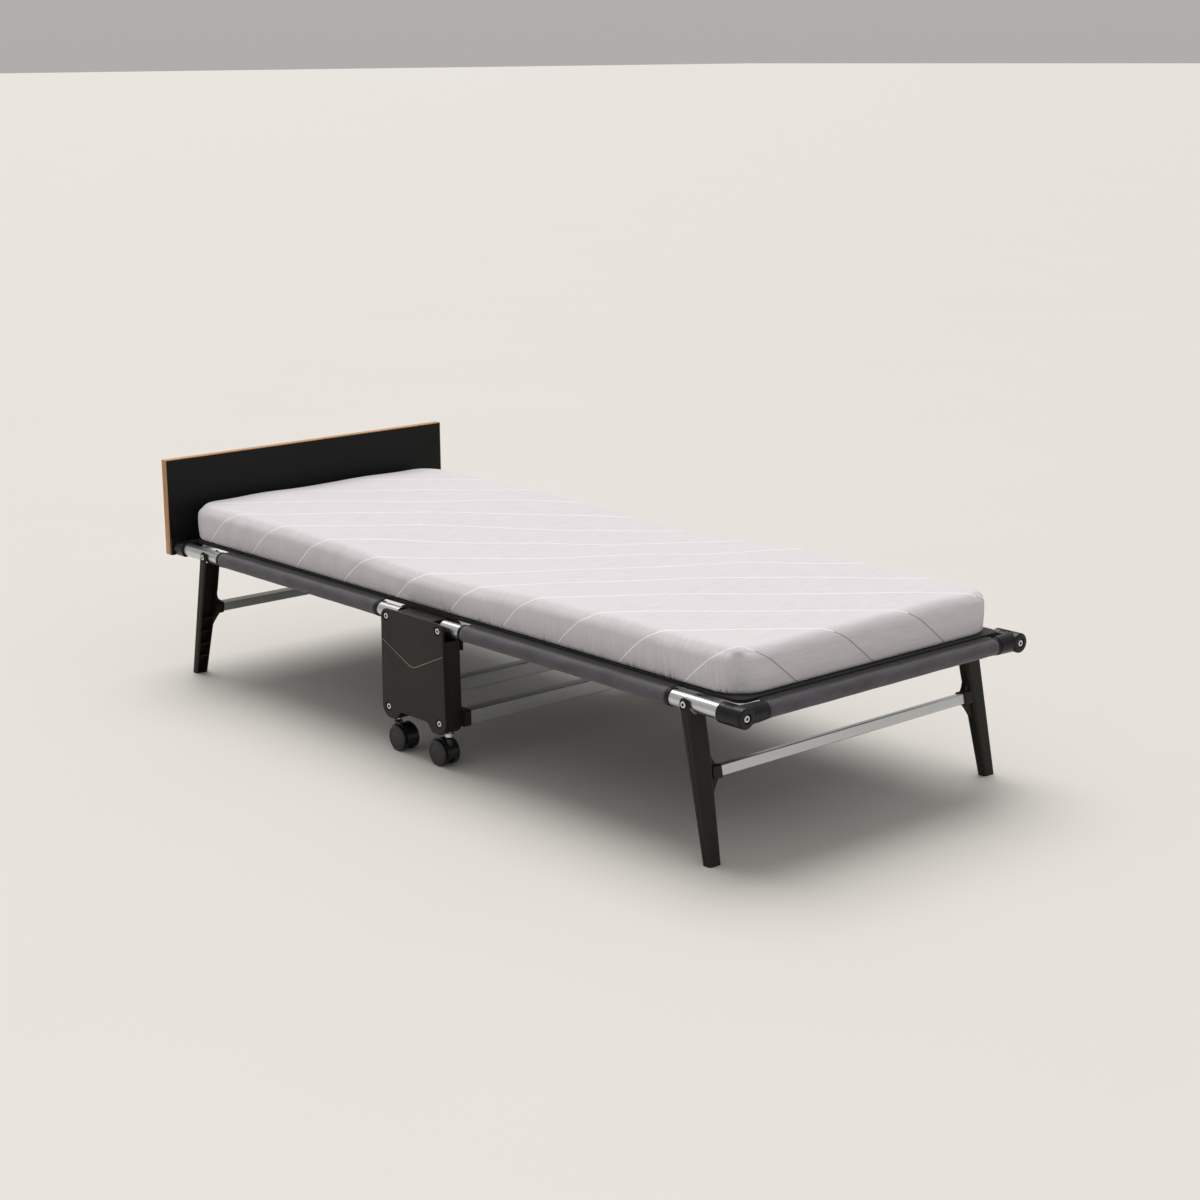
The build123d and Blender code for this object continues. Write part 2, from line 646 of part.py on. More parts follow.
def make_leg(x):
    """Left foot leg: a channel open towards the hinge, saddled over the rail, with a bar socket."""
    across = 2 * leg_cap_r
    with BuildPart() as leg:
        with BuildSketch(leg_side_plane(x, -rail_y - leg_face_y)):
            Circle(leg_cap_r)
            Polygon(
                (-leg_cap_r, 0), (-leg_foot_back, -leg_length),
                (leg_foot_front, -leg_length), (leg_cap_r, 0),
                align=None,
            )
        extrude(amount=-(leg_face_y + leg_inner_y))
        with BuildSketch(leg_front_plane(x)):
            Polygon(
                (leg_inner_y, -leg_taper_start), (leg_foot_inner_y, -leg_length),
                (3 * leg_inner_y, -leg_length), (3 * leg_inner_y, -leg_taper_start),
                align=None,
            )
        extrude(amount=across, both=True, mode=Mode.SUBTRACT)
        long_edges = leg.edges().filter_by(lambda e: e.length > 1.5 * leg_taper_start)
        front_edges = long_edges.sort_by(Axis.X)[-2:]
        fillet(front_edges, leg_corner)
        with BuildSketch(leg_front_plane(x).offset(-across)):
            Polygon(
                (-leg_channel_half, leg_cap_r), (leg_channel_half, leg_cap_r),
                (leg_channel_half, -leg_taper_start),
                (leg_foot_inner_y - leg_side_wall, -leg_length + leg_solid_foot),
                (-leg_channel_half, -leg_length + leg_solid_foot),
                align=None,
            )
        extrude(amount=across + leg_web_inner, mode=Mode.SUBTRACT)
        with BuildSketch(leg_front_plane(x)):
            with Locations((0, -leg_saddle_drop)):
                Circle(leg_channel_half)
            with Locations((0, leg_cap_r - leg_saddle_drop)):
                Rectangle(2 * leg_channel_half, 2 * leg_cap_r)
        extrude(amount=across, both=True, mode=Mode.SUBTRACT)
        for drop in rib_drops:
            reach = leg_inner_at(drop) - leg_side_wall / 2 + leg_channel_half
            middle = (leg_web_inner - leg_foot_back + rib_thickness) / 2
            with BuildSketch(leg_side_plane(x, -rail_y - leg_channel_half)):
                with Locations((middle, -drop)):
                    Rectangle(leg_web_inner + leg_foot_back - rib_thickness, rib_thickness)
            extrude(amount=-reach)
        with BuildSketch(leg_side_plane(x, -rail_y - leg_channel_half)):
            Circle(leg_boss_r)
        extrude(amount=-(leg_channel_half - tube_r - apart))
        with BuildSketch(leg_side_plane(x, -rail_y - leg_face_y)):
            Circle(screw_recess_r)
        extrude(amount=-leg_recess_depth, mode=Mode.SUBTRACT)
        with Locations((x, -rail_y, rail_height)):
            Cylinder(pin_r + running, 4 * leg_inner_y, rotation=(90, 0, 0), mode=Mode.SUBTRACT)
        with BuildSketch(leg_side_plane(x, -rail_y - leg_face_y)):
            Polygon(
                (0, -leg_crease_start), (leg_crease_width, -leg_crease_start),
                (leg_crease_drift + leg_crease_width, -leg_length), (leg_crease_drift, -leg_length),
                align=None,
            )
        extrude(amount=-leg_crease_depth, mode=Mode.SUBTRACT)
        socket = crossbar_size + 2 * leg_socket_wall
        root = leg_inner_at(crossbar_drop) - leg_side_wall / 2
        with BuildSketch(leg_side_plane(x, -rail_y + root)):
            with Locations((0, -crossbar_drop)):
                RectangleRounded(socket, socket, crossbar_corner + leg_socket_wall)
        extrude(amount=-(leg_socket_reach - root))
        top = -crossbar_drop + crossbar_size / 2
        bottom = -crossbar_drop - crossbar_size / 2
        with BuildSketch(leg_front_plane(x)):
            for start, step in ((top, gusset_rise), (bottom, -gusset_rise)):
                low_root = leg_inner_at(-start - step) - leg_side_wall / 2
                with BuildLine():
                    mouth = (leg_socket_reach - leg_socket_wall, start)
                    Line((root, start), mouth)
                    middle = (root + gusset_bow, start + gusset_bow_share * step)
                    ThreePointArc(mouth, middle, (low_root, start + step))
                    Line((low_root, start + step), (root, start))
                make_face()
        extrude(amount=gusset_half, both=True)
        with BuildSketch(leg_side_plane(x, -rail_y + leg_socket_reach)):
            with Locations((0, -crossbar_drop)):
                hole = crossbar_size + 2 * seated
                RectangleRounded(hole, hole, crossbar_corner)
        extrude(amount=leg_socket_reach + crossbar_half - rail_y + bar_end_gap, mode=Mode.SUBTRACT)
        with Locations((x, 0, -leg_length)):
            Box(4 * leg_length, 4 * rail_y, 2 * leg_length, mode=Mode.SUBTRACT)
    return leg.part


def make_crossbar(x):
    """Square aluminium tube between the two legs of one end."""
    lean = radians(leg_splay)
    place = Plane(
        origin=(x + crossbar_drop * sin(lean), 0, rail_height - crossbar_drop * cos(lean)),
        x_dir=(cos(lean), 0, sin(lean)),
        z_dir=(0, -1, 0),
    )
    with BuildPart() as bar:
        with BuildSketch(place):
            RectangleRounded(crossbar_size, crossbar_size, crossbar_corner)
            inner = crossbar_size - 2 * tube_wall
            RectangleRounded(inner, inner, crossbar_corner / 2, mode=Mode.SUBTRACT)
        extrude(amount=crossbar_half, both=True)
    return bar.part


foot_leg_x = along(FOOT, leg_pivot[FOOT])
head_leg_x = along(HEAD, leg_pivot[HEAD])
between_legs = Plane.YZ.offset((foot_leg_x + head_leg_x) / 2)
foot_leg = make_leg(foot_leg_x)
foot_crossbar = make_crossbar(foot_leg_x)
write_both_sides(foot_leg, "foot_leg")
write_both_sides(mirror(foot_leg, about=between_legs), "head_leg")
write(foot_crossbar, "foot_crossbar")
write(mirror(foot_crossbar, about=between_legs), "head_crossbar")


# ---------------------------------------------------------------- corners and end tubes


def make_end_tube(end):
    """Cross tube at the far end of one half frame."""
    with BuildPart() as tube:
        with BuildSketch(side_plane(along(end, end_tube[end]), 0, rail_height)):
            Circle(tube_r)
            Circle(rail_inner_r, mode=Mode.SUBTRACT)
        extrude(amount=end_tube_half, both=True)
    return tube.part


def make_corner_bores(end):
    """Space that the side rail and the end tube take up inside a corner piece."""
    with BuildPart() as bores:
        with BuildSketch(rail_plane(end, leg_pivot[end])):
            Circle(tube_r + seated)
        extrude(amount=rail_end[end] + seated - leg_pivot[end])
        with BuildSketch(side_plane(along(end, end_tube[end]), 0, rail_height)):
            Circle(tube_r + seated)
        extrude(amount=end_tube_half + seated)
    return bores.part


def make_corner_connector():
    """Moulded elbow at the foot corner, finned on top, with a screw recess in its end."""
    start = foot_reach - connector_length
    with BuildPart() as corner:
        with BuildSketch(rail_plane(FOOT, start)):
            Circle(connector_r)
        extrude(amount=connector_length)
        fillet(corner.faces().sort_by(Axis.X)[-1].edges(), connector_edge)
        with BuildSketch(side_plane(along(FOOT, end_tube[FOOT]), -end_socket_y, rail_height)):
            Circle(end_socket_r)
        with BuildSketch(side_plane(along(FOOT, end_tube[FOOT]), -rail_y, rail_height)):
            Circle(connector_r)
        loft()
        for i in range(fin_groove_count):
            x = along(FOOT, start + connector_length / 4 + i * fin_groove_pitch)
            with Locations((x, -rail_y, rail_height + fin_core_height + connector_r)):
                Box(fin_groove_width, 3 * connector_r, 2 * connector_r, mode=Mode.SUBTRACT)
        add(make_corner_bores(FOOT), mode=Mode.SUBTRACT)
        with BuildSketch(rail_plane(FOOT, foot_reach - screw_recess_depth)):
            Circle(screw_recess_r)
        extrude(amount=screw_recess_depth, mode=Mode.SUBTRACT)
        with BuildSketch(rail_plane(FOOT, rail_end[FOOT])):
            Circle(screw_shank_r + seated)
        extrude(amount=connector_end_wall, mode=Mode.SUBTRACT)
    return corner.part


def make_corner_screws():
    """The screws in the end faces of the two corner connectors."""
    with BuildPart() as screws:
        with BuildSketch(rail_plane(FOOT, foot_reach - screw_recess_depth)):
            Circle(screw_head_r)
        extrude(amount=screw_head_depth)
        chamfer(screws.faces().sort_by(Axis.X)[-1].edges(), screw_chamfer)
        with BuildSketch(rail_plane(FOOT, foot_reach - screw_recess_depth + screw_head_depth)):
            RegularPolygon(hex_across_flats / 2, 6, major_radius=False)
        extrude(amount=-hex_depth, mode=Mode.SUBTRACT)
        with BuildSketch(rail_plane(FOOT, foot_reach - screw_recess_depth)):
            Circle(screw_shank_r)
        extrude(amount=-(connector_end_wall - screw_recess_depth - screw_tip_gap))
        mirror(about=Plane.XZ)
    return screws.part


def make_end_sleeve():
    """Sleeve round the foot end tube, between the two corner connectors."""
    with BuildPart() as sleeve:
        with BuildSketch(side_plane(along(FOOT, end_tube[FOOT]), 0, rail_height)):
            Circle(sleeve_r)
            Circle(tube_r + seated, mode=Mode.SUBTRACT)
        extrude(amount=end_socket_y - collar_length, both=True)
    return sleeve.part


def make_end_collars():
    """The rings that close the sleeve of the foot end tube."""
    with BuildPart() as collars:
        with BuildSketch(side_plane(along(FOOT, end_tube[FOOT]), -end_socket_y, rail_height)):
            Circle(collar_r)
            Circle(tube_r + seated, mode=Mode.SUBTRACT)
        extrude(amount=-collar_length)
        mirror(about=Plane.XZ)
    return collars.part


def make_head_bracket():
    """Moulded bracket that joins the rail and the end tube to the headboard."""
    start = board_front - bracket_length
    with BuildPart() as bracket:
        with BuildSketch(rail_plane(HEAD, start)):
            Circle(connector_r)
        extrude(amount=bracket_length)
        with BuildSketch(side_plane(along(HEAD, end_tube[HEAD]), -head_socket_y, rail_height)):
            Circle(end_socket_r)
        extrude(amount=rail_y - head_socket_y)
        with BuildSketch(rail_plane(HEAD, board_front - bracket_flange)):
            RectangleRounded(bracket_flange_width, bracket_flange_height, bracket_flange_corner)
        extrude(amount=bracket_flange)
        for i in range(fin_groove_count - 1):
            x = along(HEAD, start + bracket_length / 4 + i * fin_groove_pitch)
            with Locations((x, -rail_y, rail_height + fin_core_height + connector_r)):
                Box(fin_groove_width, 3 * connector_r, 2 * connector_r, mode=Mode.SUBTRACT)
        with Locations((along(HEAD, board_front), 0, board_bottom_z - bracket_flange_height)):
            Box(4 * bracket_length, 4 * rail_y, 2 * bracket_flange_height, mode=Mode.SUBTRACT)
        add(make_corner_bores(HEAD), mode=Mode.SUBTRACT)
    return bracket.part


def board_plane():
    """Upright plane on the front of the headboard, facing backwards, with its origin in the middle."""
    middle_z = (board_top_z + board_bottom_z) / 2
    return Plane(origin=(along(HEAD, board_front), 0, middle_z), x_dir=(0, 1, 0), z_dir=(-1, 0, 0))


def make_headboard():
    """Laminated board, set inside its edge band."""
    width = 2 * (board_half_width - edging_thickness - seated)
    height = board_top_z - board_bottom_z - 2 * (edging_thickness + seated)
    with BuildPart() as board:
        with BuildSketch(board_plane()):
            Rectangle(width, height)
        extrude(amount=board_thickness)
    return board.part


def make_headboard_edging():
    """Oak band round the four edges of the headboard."""
    height = board_top_z - board_bottom_z
    with BuildPart() as edging:
        with BuildSketch(board_plane()):
            Rectangle(2 * board_half_width, height)
            inner = (2 * (board_half_width - edging_thickness), height - 2 * edging_thickness)
            Rectangle(*inner, mode=Mode.SUBTRACT)
        extrude(amount=board_thickness)
    return edging.part


write(make_end_tube(HEAD), "head_end_tube")
write(make_end_tube(FOOT), "foot_end_tube")
write(make_end_sleeve(), "foot_end_sleeve")
write(make_end_collars(), "foot_end_collars")
write_both_sides(make_corner_connector(), "corner_connector")
write(make_corner_screws(), "corner_screws")
write_both_sides(make_head_bracket(), "headboard_bracket")
write(make_headboard(), "headboard")
write(make_headboard_edging(), "headboard_edging")


# ---------------------------------------------------------------- deck and mattress


def make_deck(end):
    """Stretched mesh panel of one half frame."""
    inner = along(end, deck_hinge_gap - pivot_offset)
    outer = along(end, end_tube[end] - deck_end_gap)
    with BuildPart() as deck:
        with BuildSketch(Plane.XY.offset(deck_bottom_z)):
            with Locations(((inner + outer) / 2, 0)):
                Rectangle(abs(outer - inner), 2 * deck_half_width)
        extrude(amount=deck_thickness)
    return deck.part


def make_mattress(end):
    """Foam half of one half frame, rounded about the fold pivot so that it can swing up."""
    reach = {HEAD: board_front - mattress_board_gap, FOOT: foot_reach - mattress_foot_inset}[end]
    low = mattress_bottom_z - rail_height
    fold_x = -sqrt(mattress_fold_r**2 - low**2)
    middle = (-mattress_fold_r * cos(radians(45)), mattress_fold_r * sin(radians(45)))
    profile_plane = Plane(
        origin=(along(end, 0), 0, rail_height),
        x_dir=(end, 0, 0),
        z_dir=(0, -end, 0),
    )
    with BuildPart() as mattress:
        with BuildSketch(profile_plane):
            with BuildLine():
                ThreePointArc((fold_x, low), middle, (0, mattress_fold_r))
                Line((0, mattress_fold_r), (reach, mattress_end_z - rail_height))
                Line((reach, mattress_end_z - rail_height), (reach, low))
                Line((reach, low), (fold_x, low))
            make_face()
        extrude(amount=mattress_half_width, both=True)
        far_end = mattress.faces().filter_by(Axis.X)[0]
        fillet(far_end.edges().group_by(Axis.Z)[-1], mattress_edge)
    return mattress.part


for end, name in ((HEAD, "head"), (FOOT, "foot")):
    write(make_deck(end), f"{name}_deck")
    write(make_mattress(end), f"{name}_mattress")
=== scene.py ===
"""Folding guest bed: its cloth, finishes and stage, built around the CAD frame.

Metres, in the frame's own axes: +X from the headboard to the foot end, +Z up, the left side at -Y.
The file is laid out as an add-on and is run as a script.
"""

import json
import math

import bmesh
import bpy
import numpy as np
from bpy.props import FloatProperty, FloatVectorProperty, PointerProperty
from mathutils import Matrix, Vector


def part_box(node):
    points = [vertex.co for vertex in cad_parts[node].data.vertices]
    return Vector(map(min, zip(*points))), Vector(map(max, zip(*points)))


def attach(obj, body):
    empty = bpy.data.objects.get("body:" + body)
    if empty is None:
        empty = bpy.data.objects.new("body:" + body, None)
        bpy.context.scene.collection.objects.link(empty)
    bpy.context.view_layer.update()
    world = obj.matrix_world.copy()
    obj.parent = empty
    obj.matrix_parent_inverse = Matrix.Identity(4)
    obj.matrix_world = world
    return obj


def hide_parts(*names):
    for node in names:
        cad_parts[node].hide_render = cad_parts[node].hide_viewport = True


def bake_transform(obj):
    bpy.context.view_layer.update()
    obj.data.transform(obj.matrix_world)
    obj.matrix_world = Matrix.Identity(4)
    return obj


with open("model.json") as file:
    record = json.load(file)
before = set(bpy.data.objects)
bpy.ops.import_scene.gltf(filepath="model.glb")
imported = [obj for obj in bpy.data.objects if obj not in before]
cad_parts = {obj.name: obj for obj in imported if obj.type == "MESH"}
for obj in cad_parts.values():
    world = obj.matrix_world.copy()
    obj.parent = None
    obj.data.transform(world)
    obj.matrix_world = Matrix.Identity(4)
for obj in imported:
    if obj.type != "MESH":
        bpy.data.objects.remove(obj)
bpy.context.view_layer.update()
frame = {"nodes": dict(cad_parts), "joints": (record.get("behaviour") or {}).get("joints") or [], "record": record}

bl_info = {
    "name": "Folding guest bed",
    "version": (1, 0, 0),
    "blender": (4, 5, 0),
    "location": "3D View > Sidebar > Guest Bed",
    "description": "Builds the cloth, finishes and stage of a folding guest bed around its frame",
    "category": "Object",
}

MM = 0.001

# The two half frames, and the way each runs from the hinge
ENDS = {"head": -1, "foot": 1}
SIDES = {"left": -1, "right": 1}


def joint_place(name):
    """Where a joint's axis stands."""
    return next(Vector(joint["pos_m"]) for joint in frame["joints"] if joint["name"] == name)


fold_axis = {end: joint_place(f"{end}_fold") for end in ENDS}
hinge_x = (fold_axis["head"].x + fold_axis["foot"].x) / 2


def linear(code):
    """Linear colour of an sRGB hex value."""
    channels = [int(code[i : i + 2], 16) / 255 for i in (1, 3, 5)]
    return [c / 12.92 if c <= 0.04045 else ((c + 0.055) / 1.055) ** 2.4 for c in channels]


# ---------------------------------------------------------------- what a user may change


def size_prop(name, description, default):
    """A length in metres."""
    return FloatProperty(name=name, description=description, default=default, min=0, unit="LENGTH")


def share_prop(name, description, default):
    """A plain factor."""
    return FloatProperty(name=name, description=description, default=default, min=0)


def colour_prop(name, description, code):
    """A colour, given as its sRGB hex value."""
    return FloatVectorProperty(
        name=name, description=description, subtype="COLOR", size=3, min=0, max=1, default=linear(code)
    )


class MattressSettings(bpy.types.PropertyGroup):
    """Foam mattress in a knitted stretch cover."""

    top_edge: size_prop("Top edge", "Radius of the top edge", 24 * MM)
    under_edge: size_prop("Lower edge", "Radius where the cover turns under", 9 * MM)
    corner: size_prop("Corner", "Radius of the upright corners", 68 * MM)
    bulge: size_prop("Side bulge", "How far the side walls swell", 5 * MM)
    fold_height: size_prop("Height at the fold", "Top of the mattress over the hinge", 371 * MM)
    gather_depth: size_prop("Gather depth", "Depth of the gathers at the lower hem", 5.5 * MM)
    gather_pitch: size_prop("Gather pitch", "Spacing of the gathers at the lower hem", 14 * MM)
    crease: size_prop("Corner crease", "Depth of the pinched crease in each corner", 8 * MM)
    ribbon_pitch: size_prop("Line spacing", "Spacing of the knitted lines along the bed", 175.4 * MM)
    ribbon_width: size_prop("Line width", "Width of a knitted line", 3.7 * MM)
    knit_pitch: size_prop("Knit pitch", "Spacing of the ribs of the knit", 1.6 * MM)
    streak_pitch: size_prop("Streak pitch", "Spacing of the upright streaks of the knit", 4.2 * MM)
    colour: colour_prop("Cover", "Colour of the knit", "#d8d3d7")
    ribbon_colour: colour_prop("Lines", "Colour of the knitted lines", "#fdfbfc")
    # painted shade: the lines on the end walls get a darker colour, standing in for their sheen turning dark there
    shaded_end_ribbon_colour: colour_prop("Lines on the ends", "Colour of the lines on the end walls", "#8d8480")


class DeckSettings(bpy.types.PropertyGroup):
    """Stretched spacer-mesh deck with a corded rim."""

    corner: size_prop("Corner", "Radius of the deck's outer corners", 20 * MM)
    rim: size_prop("Rim", "Radius of the rim's edges", 2.6 * MM)
    cord: size_prop("Cord", "Radius of the cord sewn along the rim", 1.5 * MM)
    hole_pitch: size_prop("Hole pitch", "Spacing of the holes in the mesh", 3.2 * MM)
    stitch_inset: size_prop("Stitch inset", "Rim to the row of stitches", 7 * MM)
    yarn: colour_prop("Yarn", "Colour of the mesh yarn", "#171b1a")
    cord_colour: colour_prop("Cord colour", "Colour of the rim cord", "#0d0f0f")


class SleeveSettings(bpy.types.PropertyGroup):
    """Woven sleeves that carry the deck on the tubes."""

    ply: size_prop("Ply", "Thickness of the doubled cloth", 2.2 * MM)
    weave_pitch: size_prop("Weave pitch", "Spacing of the threads", 1.3 * MM)
    stitch_pitch: size_prop("Stitch pitch", "Spacing of the stitches", 5.5 * MM)
    stitch_length: size_prop("Stitch length", "Length of one stitch", 3.8 * MM)
    thread: size_prop("Thread", "Radius of the sewing thread", 0.45 * MM)
    warp: colour_prop("Warp", "Colour of the threads along the tube", "#544f58")
    weft: colour_prop("Weft", "Colour of the threads round the tube", "#3f3b43")
    thread_colour: colour_prop("Thread colour", "Colour of the sewing thread", "#2b2930")


class FinishSettings(bpy.types.PropertyGroup):
    """Finishes of the frame's hard parts."""

    plastic: colour_prop("Moulded parts", "Colour of the glass-filled nylon", "#1d1912")
    connector: colour_prop("Connectors", "Colour of the corner connectors", "#141516")
    collar: colour_prop("Collars", "Colour of the sleeve collars", "#141414")
    wheel: colour_prop("Castors", "Colour of the castors", "#121214")
    aluminium: colour_prop("Aluminium", "Colour of the satin aluminium", "#d3d5d7")
    zinc: colour_prop("Zinc", "Colour of the zinc plate", "#dcdde0")
    board: colour_prop("Board", "Colour of the headboard laminate", "#0b0f0e")
    edging: colour_prop("Edging", "Colour of the headboard edging", "#c48d56")
    grain: size_prop("Moulding grain", "Grain of the spark-eroded mould", 0.9 * MM)
    pinstripe: colour_prop("Groove line", "Colour of the line in the V groove", "#d9d5cc")
    groove_line: size_prop("Line radius", "Radius of the line in the groove", 0.39 * MM)
    groove_depth: size_prop("Groove depth", "Depth of the groove in the cover", 0.8 * MM)
    groove_tip: size_prop("Groove tip", "Top of the cover to the tip of the V", 109 * MM)
    groove_side: size_prop("Groove side", "Top of the cover to the ends of the V", 61 * MM)
    groove_turn: size_prop("Groove turn", "Radius of the tip of the V", 34 * MM)


class StageSettings(bpy.types.PropertyGroup):
    """Floor, lights and camera."""

    floor_width: size_prop("Floor", "Width of the floor", 300)
    floor_colour: colour_prop("Floor colour", "Colour of the floor", "#cfccc7")
    horizon: colour_prop("Horizon", "Colour of the air at eye level", "#dcdad7")
    zenith: colour_prop("Zenith", "Colour of the air overhead", "#f7f6f4")
    air_strength: share_prop("Air strength", "Strength of the light from the air", 0.6)
    key_power: share_prop("Key light", "Strength of the broad light overhead", 2.5)
    fill_power: share_prop("Fill light", "Strength of the low light from the foot end", 0.16)
    lens: share_prop("Lens", "Focal length in millimetres", 66.88)


# ---------------------------------------------------------------- node helpers


def connect(tree, node, inputs):
    """Link or set a node's inputs. A plain colour gets its alpha here."""
    for key, value in inputs.items():
        socket = node.inputs[key]
        if isinstance(value, bpy.types.NodeSocket):
            tree.links.new(value, socket)
        elif socket.type == "RGBA":
            socket.default_value = (*value, 1)
        else:
            socket.default_value = value


def add_node(tree, kind, settings=None, inputs=None):
    """Add a node, set its properties, and link or set its inputs."""
    node = tree.nodes.new(kind)
    for name, value in (settings or {}).items():
        setattr(node, name, value)
    connect(tree, node, inputs or {})
    return node


# What a step's short name stands for: its node, properties, inputs in order and output.
# "band" maps a range onto 0 to 1, and "span" maps 0 to 1 onto a range.
STEPS = {
    "band": ("ShaderNodeMapRange", {}, ("Value", "From Min", "From Max"), "Result"),
    "span": ("ShaderNodeMapRange", {}, ("Value", "To Min", "To Max"), "Result"),
    "mix": ("ShaderNodeMix", {"data_type": "RGBA"}, (0, 6, 7), 2),
    "bump": ("ShaderNodeBump", {}, ("Height", "Strength", "Distance"), "Normal"),
}
for operation in ("MULTIPLY", "MULTIPLY_ADD", "SUBTRACT", "ABSOLUTE", "FRACT", "SINE", "POWER"):
    STEPS[operation] = ("ShaderNodeMath", {"operation": operation}, (0, 1, 2), 0)


def wire(tree, name, *values):
    """Add a step by its short name, fed with values in order, and return its output."""
    kind, settings, keys, output = STEPS[name]
    return add_node(tree, kind, settings, dict(zip(keys, values))).outputs[output]


def new_material(name):
    """A material with only its output and a principled shader."""
    material = bpy.data.materials.new(name)
    material.use_nodes = True
    tree = material.node_tree
    shader = tree.nodes["Principled BSDF"]
    return material, tree, shader


def pattern_space(tree, stretch, uv=None):
    """Pattern coordinates: metres on the object, or on its flat cloth, times a stretch per axis."""
    if uv:
        source = add_node(tree, "ShaderNodeUVMap", {"uv_map": uv}).outputs["UV"]
    else:
        source = add_node(tree, "ShaderNodeTexCoord").outputs["Object"]
    mapping = add_node(tree, "ShaderNodeMapping", inputs={"Vector": source, "Scale": stretch})
    return mapping.outputs["Vector"]


def mottle(tree, stretch, detail=2.0, roughness=0.5, uv=None):
    """Noise over a stretched pattern space."""
    space = pattern_space(tree, stretch, uv)
    inputs = {"Vector": space, "Scale": 1.0, "Detail": detail, "Roughness": roughness}
    return add_node(tree, "ShaderNodeTexNoise", inputs=inputs).outputs["Fac"]


# ---------------------------------------------------------------- finishes of the hard parts


def make_moulded_nylon(name, colour, grain, roughness=0.42):
    """Glass-filled nylon from a spark-eroded mould: satin, finely grained, with faint flow lines."""
    material, tree, shader = new_material(name)
    # the real grain is about 0.2 mm; it is drawn coarser so that it shows
    fine = mottle(tree, (1 / grain,) * 3, detail=3)
    flow = mottle(tree, (26, 26, 3), detail=2)
    scuffs = mottle(tree, (60, 60, 60), detail=6, roughness=0.7)
    tint = wire(tree, "band", flow, 0.3, 0.75)
    pale = [c * 1.35 + 0.002 for c in colour]
    dark = [c * 0.78 for c in colour]
    gloss = wire(tree, "MULTIPLY_ADD", scuffs, 0.16, roughness - 0.08)
    # nylon's IOR is about 1.53; it is set lower to match the dull black of the object
    look = {
        "Base Color": wire(tree, "mix", tint, dark, pale),
        "Roughness": gloss,
        "Normal": wire(tree, "bump", fine, 0.22, 0.25 * MM),
        "IOR": 1.32,
    }
    connect(tree, shader, look)
    return material


def make_castor_nylon(name, colour):
    """Unfilled nylon from a polished mould: deep black, glossy, with fine handling scuffs."""
    material, tree, shader = new_material(name)
    scuffs = mottle(tree, (220, 220, 220), detail=5, roughness=0.75)
    look = {
        "Base Color": colour,
        "Roughness": wire(tree, "span", wire(tree, "band", scuffs, 0.35, 0.7), 0.24, 0.4),
        "Normal": wire(tree, "bump", scuffs, 0.05, 0.2 * MM),
        "IOR": 1.53,
    }
    connect(tree, shader, look)
    return material


def make_satin_aluminium(name, colour, axis):
    """Extruded 6063 tube, satin anodised: die lines 0.3 mm apart run along it and stretch its highlight."""
    material, tree, shader = new_material(name)
    stretch = [1 / (0.3 * MM)] * 3
    stretch[axis] = 6
    lines = mottle(tree, stretch, detail=2)
    haze = mottle(tree, (18, 18, 18), detail=3)
    bright = [min(1, c * 1.06) for c in colour]
    dull = [c * 0.86 for c in colour]
    gloss = wire(tree, "MULTIPLY_ADD", haze, 0.12, 0.24)
    look = {
        "Base Color": wire(tree, "mix", wire(tree, "band", lines, 0.3, 0.7), dull, bright),
        "Roughness": gloss,
        "Normal": wire(tree, "bump", lines, 0.12, 0.05 * MM),
        "Metallic": 1,
    }
    connect(tree, shader, look)
    return material


def make_zinc_plate(name, colour):
    """Bright zinc on cold-headed steel: near white, lightly mottled, brighter than the tubes."""
    material, tree, shader = new_material(name)
    cloud = mottle(tree, (400, 400, 400), detail=4, roughness=0.6)
    dull = [c * 0.8 for c in colour]
    plate = wire(tree, "mix", wire(tree, "band", cloud, 0.35, 0.65), dull, colour)
    # painted shade: ambient occlusion darkens the colour in the sockets and round the heads
    socket_shade_ao = add_node(tree, "ShaderNodeAmbientOcclusion", {"samples": 8}, {"Distance": 4 * MM})
    unshaded_share = wire(tree, "POWER", socket_shade_ao.outputs["AO"], 3.0)
    look = {
        "Base Color": wire(tree, "mix", unshaded_share, [c * 0.05 for c in colour], plate),
        "Roughness": wire(tree, "span", cloud, 0.18, 0.36),
        "Metallic": 1,
    }
    connect(tree, shader, look)
    return material


def make_laminate(name, colour):
    """Melamine laminate pressed against a fine leather-grain plate: black, satin, faintly rippled."""
    material, tree, shader = new_material(name)
    grain = mottle(tree, (900, 900, 900), detail=2)
    ripple = mottle(tree, (9, 9, 9), detail=2)
    pale = [c * 1.35 + 0.002 for c in colour]
    height = wire(tree, "MULTIPLY_ADD", ripple, 3.0, grain)
    # melamine's IOR is about 1.6; it is set lower to match the dull black of the object
    look = {
        "Base Color": wire(tree, "mix", ripple, colour, pale),
        "Roughness": wire(tree, "span", grain, 0.38, 0.52),
        "Normal": wire(tree, "bump", height, 0.12, 0.12 * MM),
        "IOR": 1.27,
    }
    connect(tree, shader, look)
    return material


def make_oak_edging(name, colour):
    """Oak veneer edge band, lacquered: grain runs along the edge, with darker pores."""
    material, tree, shader = new_material(name)
    figure = mottle(tree, (420, 9, 9), detail=3, roughness=0.6)
    pores = mottle(tree, (2200, 60, 60), detail=2)
    dark = [c * 0.55 for c in colour]
    pale = [min(1, c * 1.18) for c in colour]
    wood = wire(tree, "mix", wire(tree, "band", figure, 0.3, 0.7), dark, pale)
    pored = wire(tree, "mix", wire(tree, "band", pores, 0.62, 0.72), wood, [c * 0.35 for c in colour])
    look = {
        "Base Color": pored,
        "Roughness": wire(tree, "span", pores, 0.36, 0.5),
        "Normal": wire(tree, "bump", figure, 0.1, 0.1 * MM),
        "IOR": 1.5,
    }
    connect(tree, shader, look)
    return material


def refinish(node, material):
    """Give a CAD node its finish."""
    target = frame["nodes"][node]
    target.data.materials.clear()
    target.data.materials.append(material)


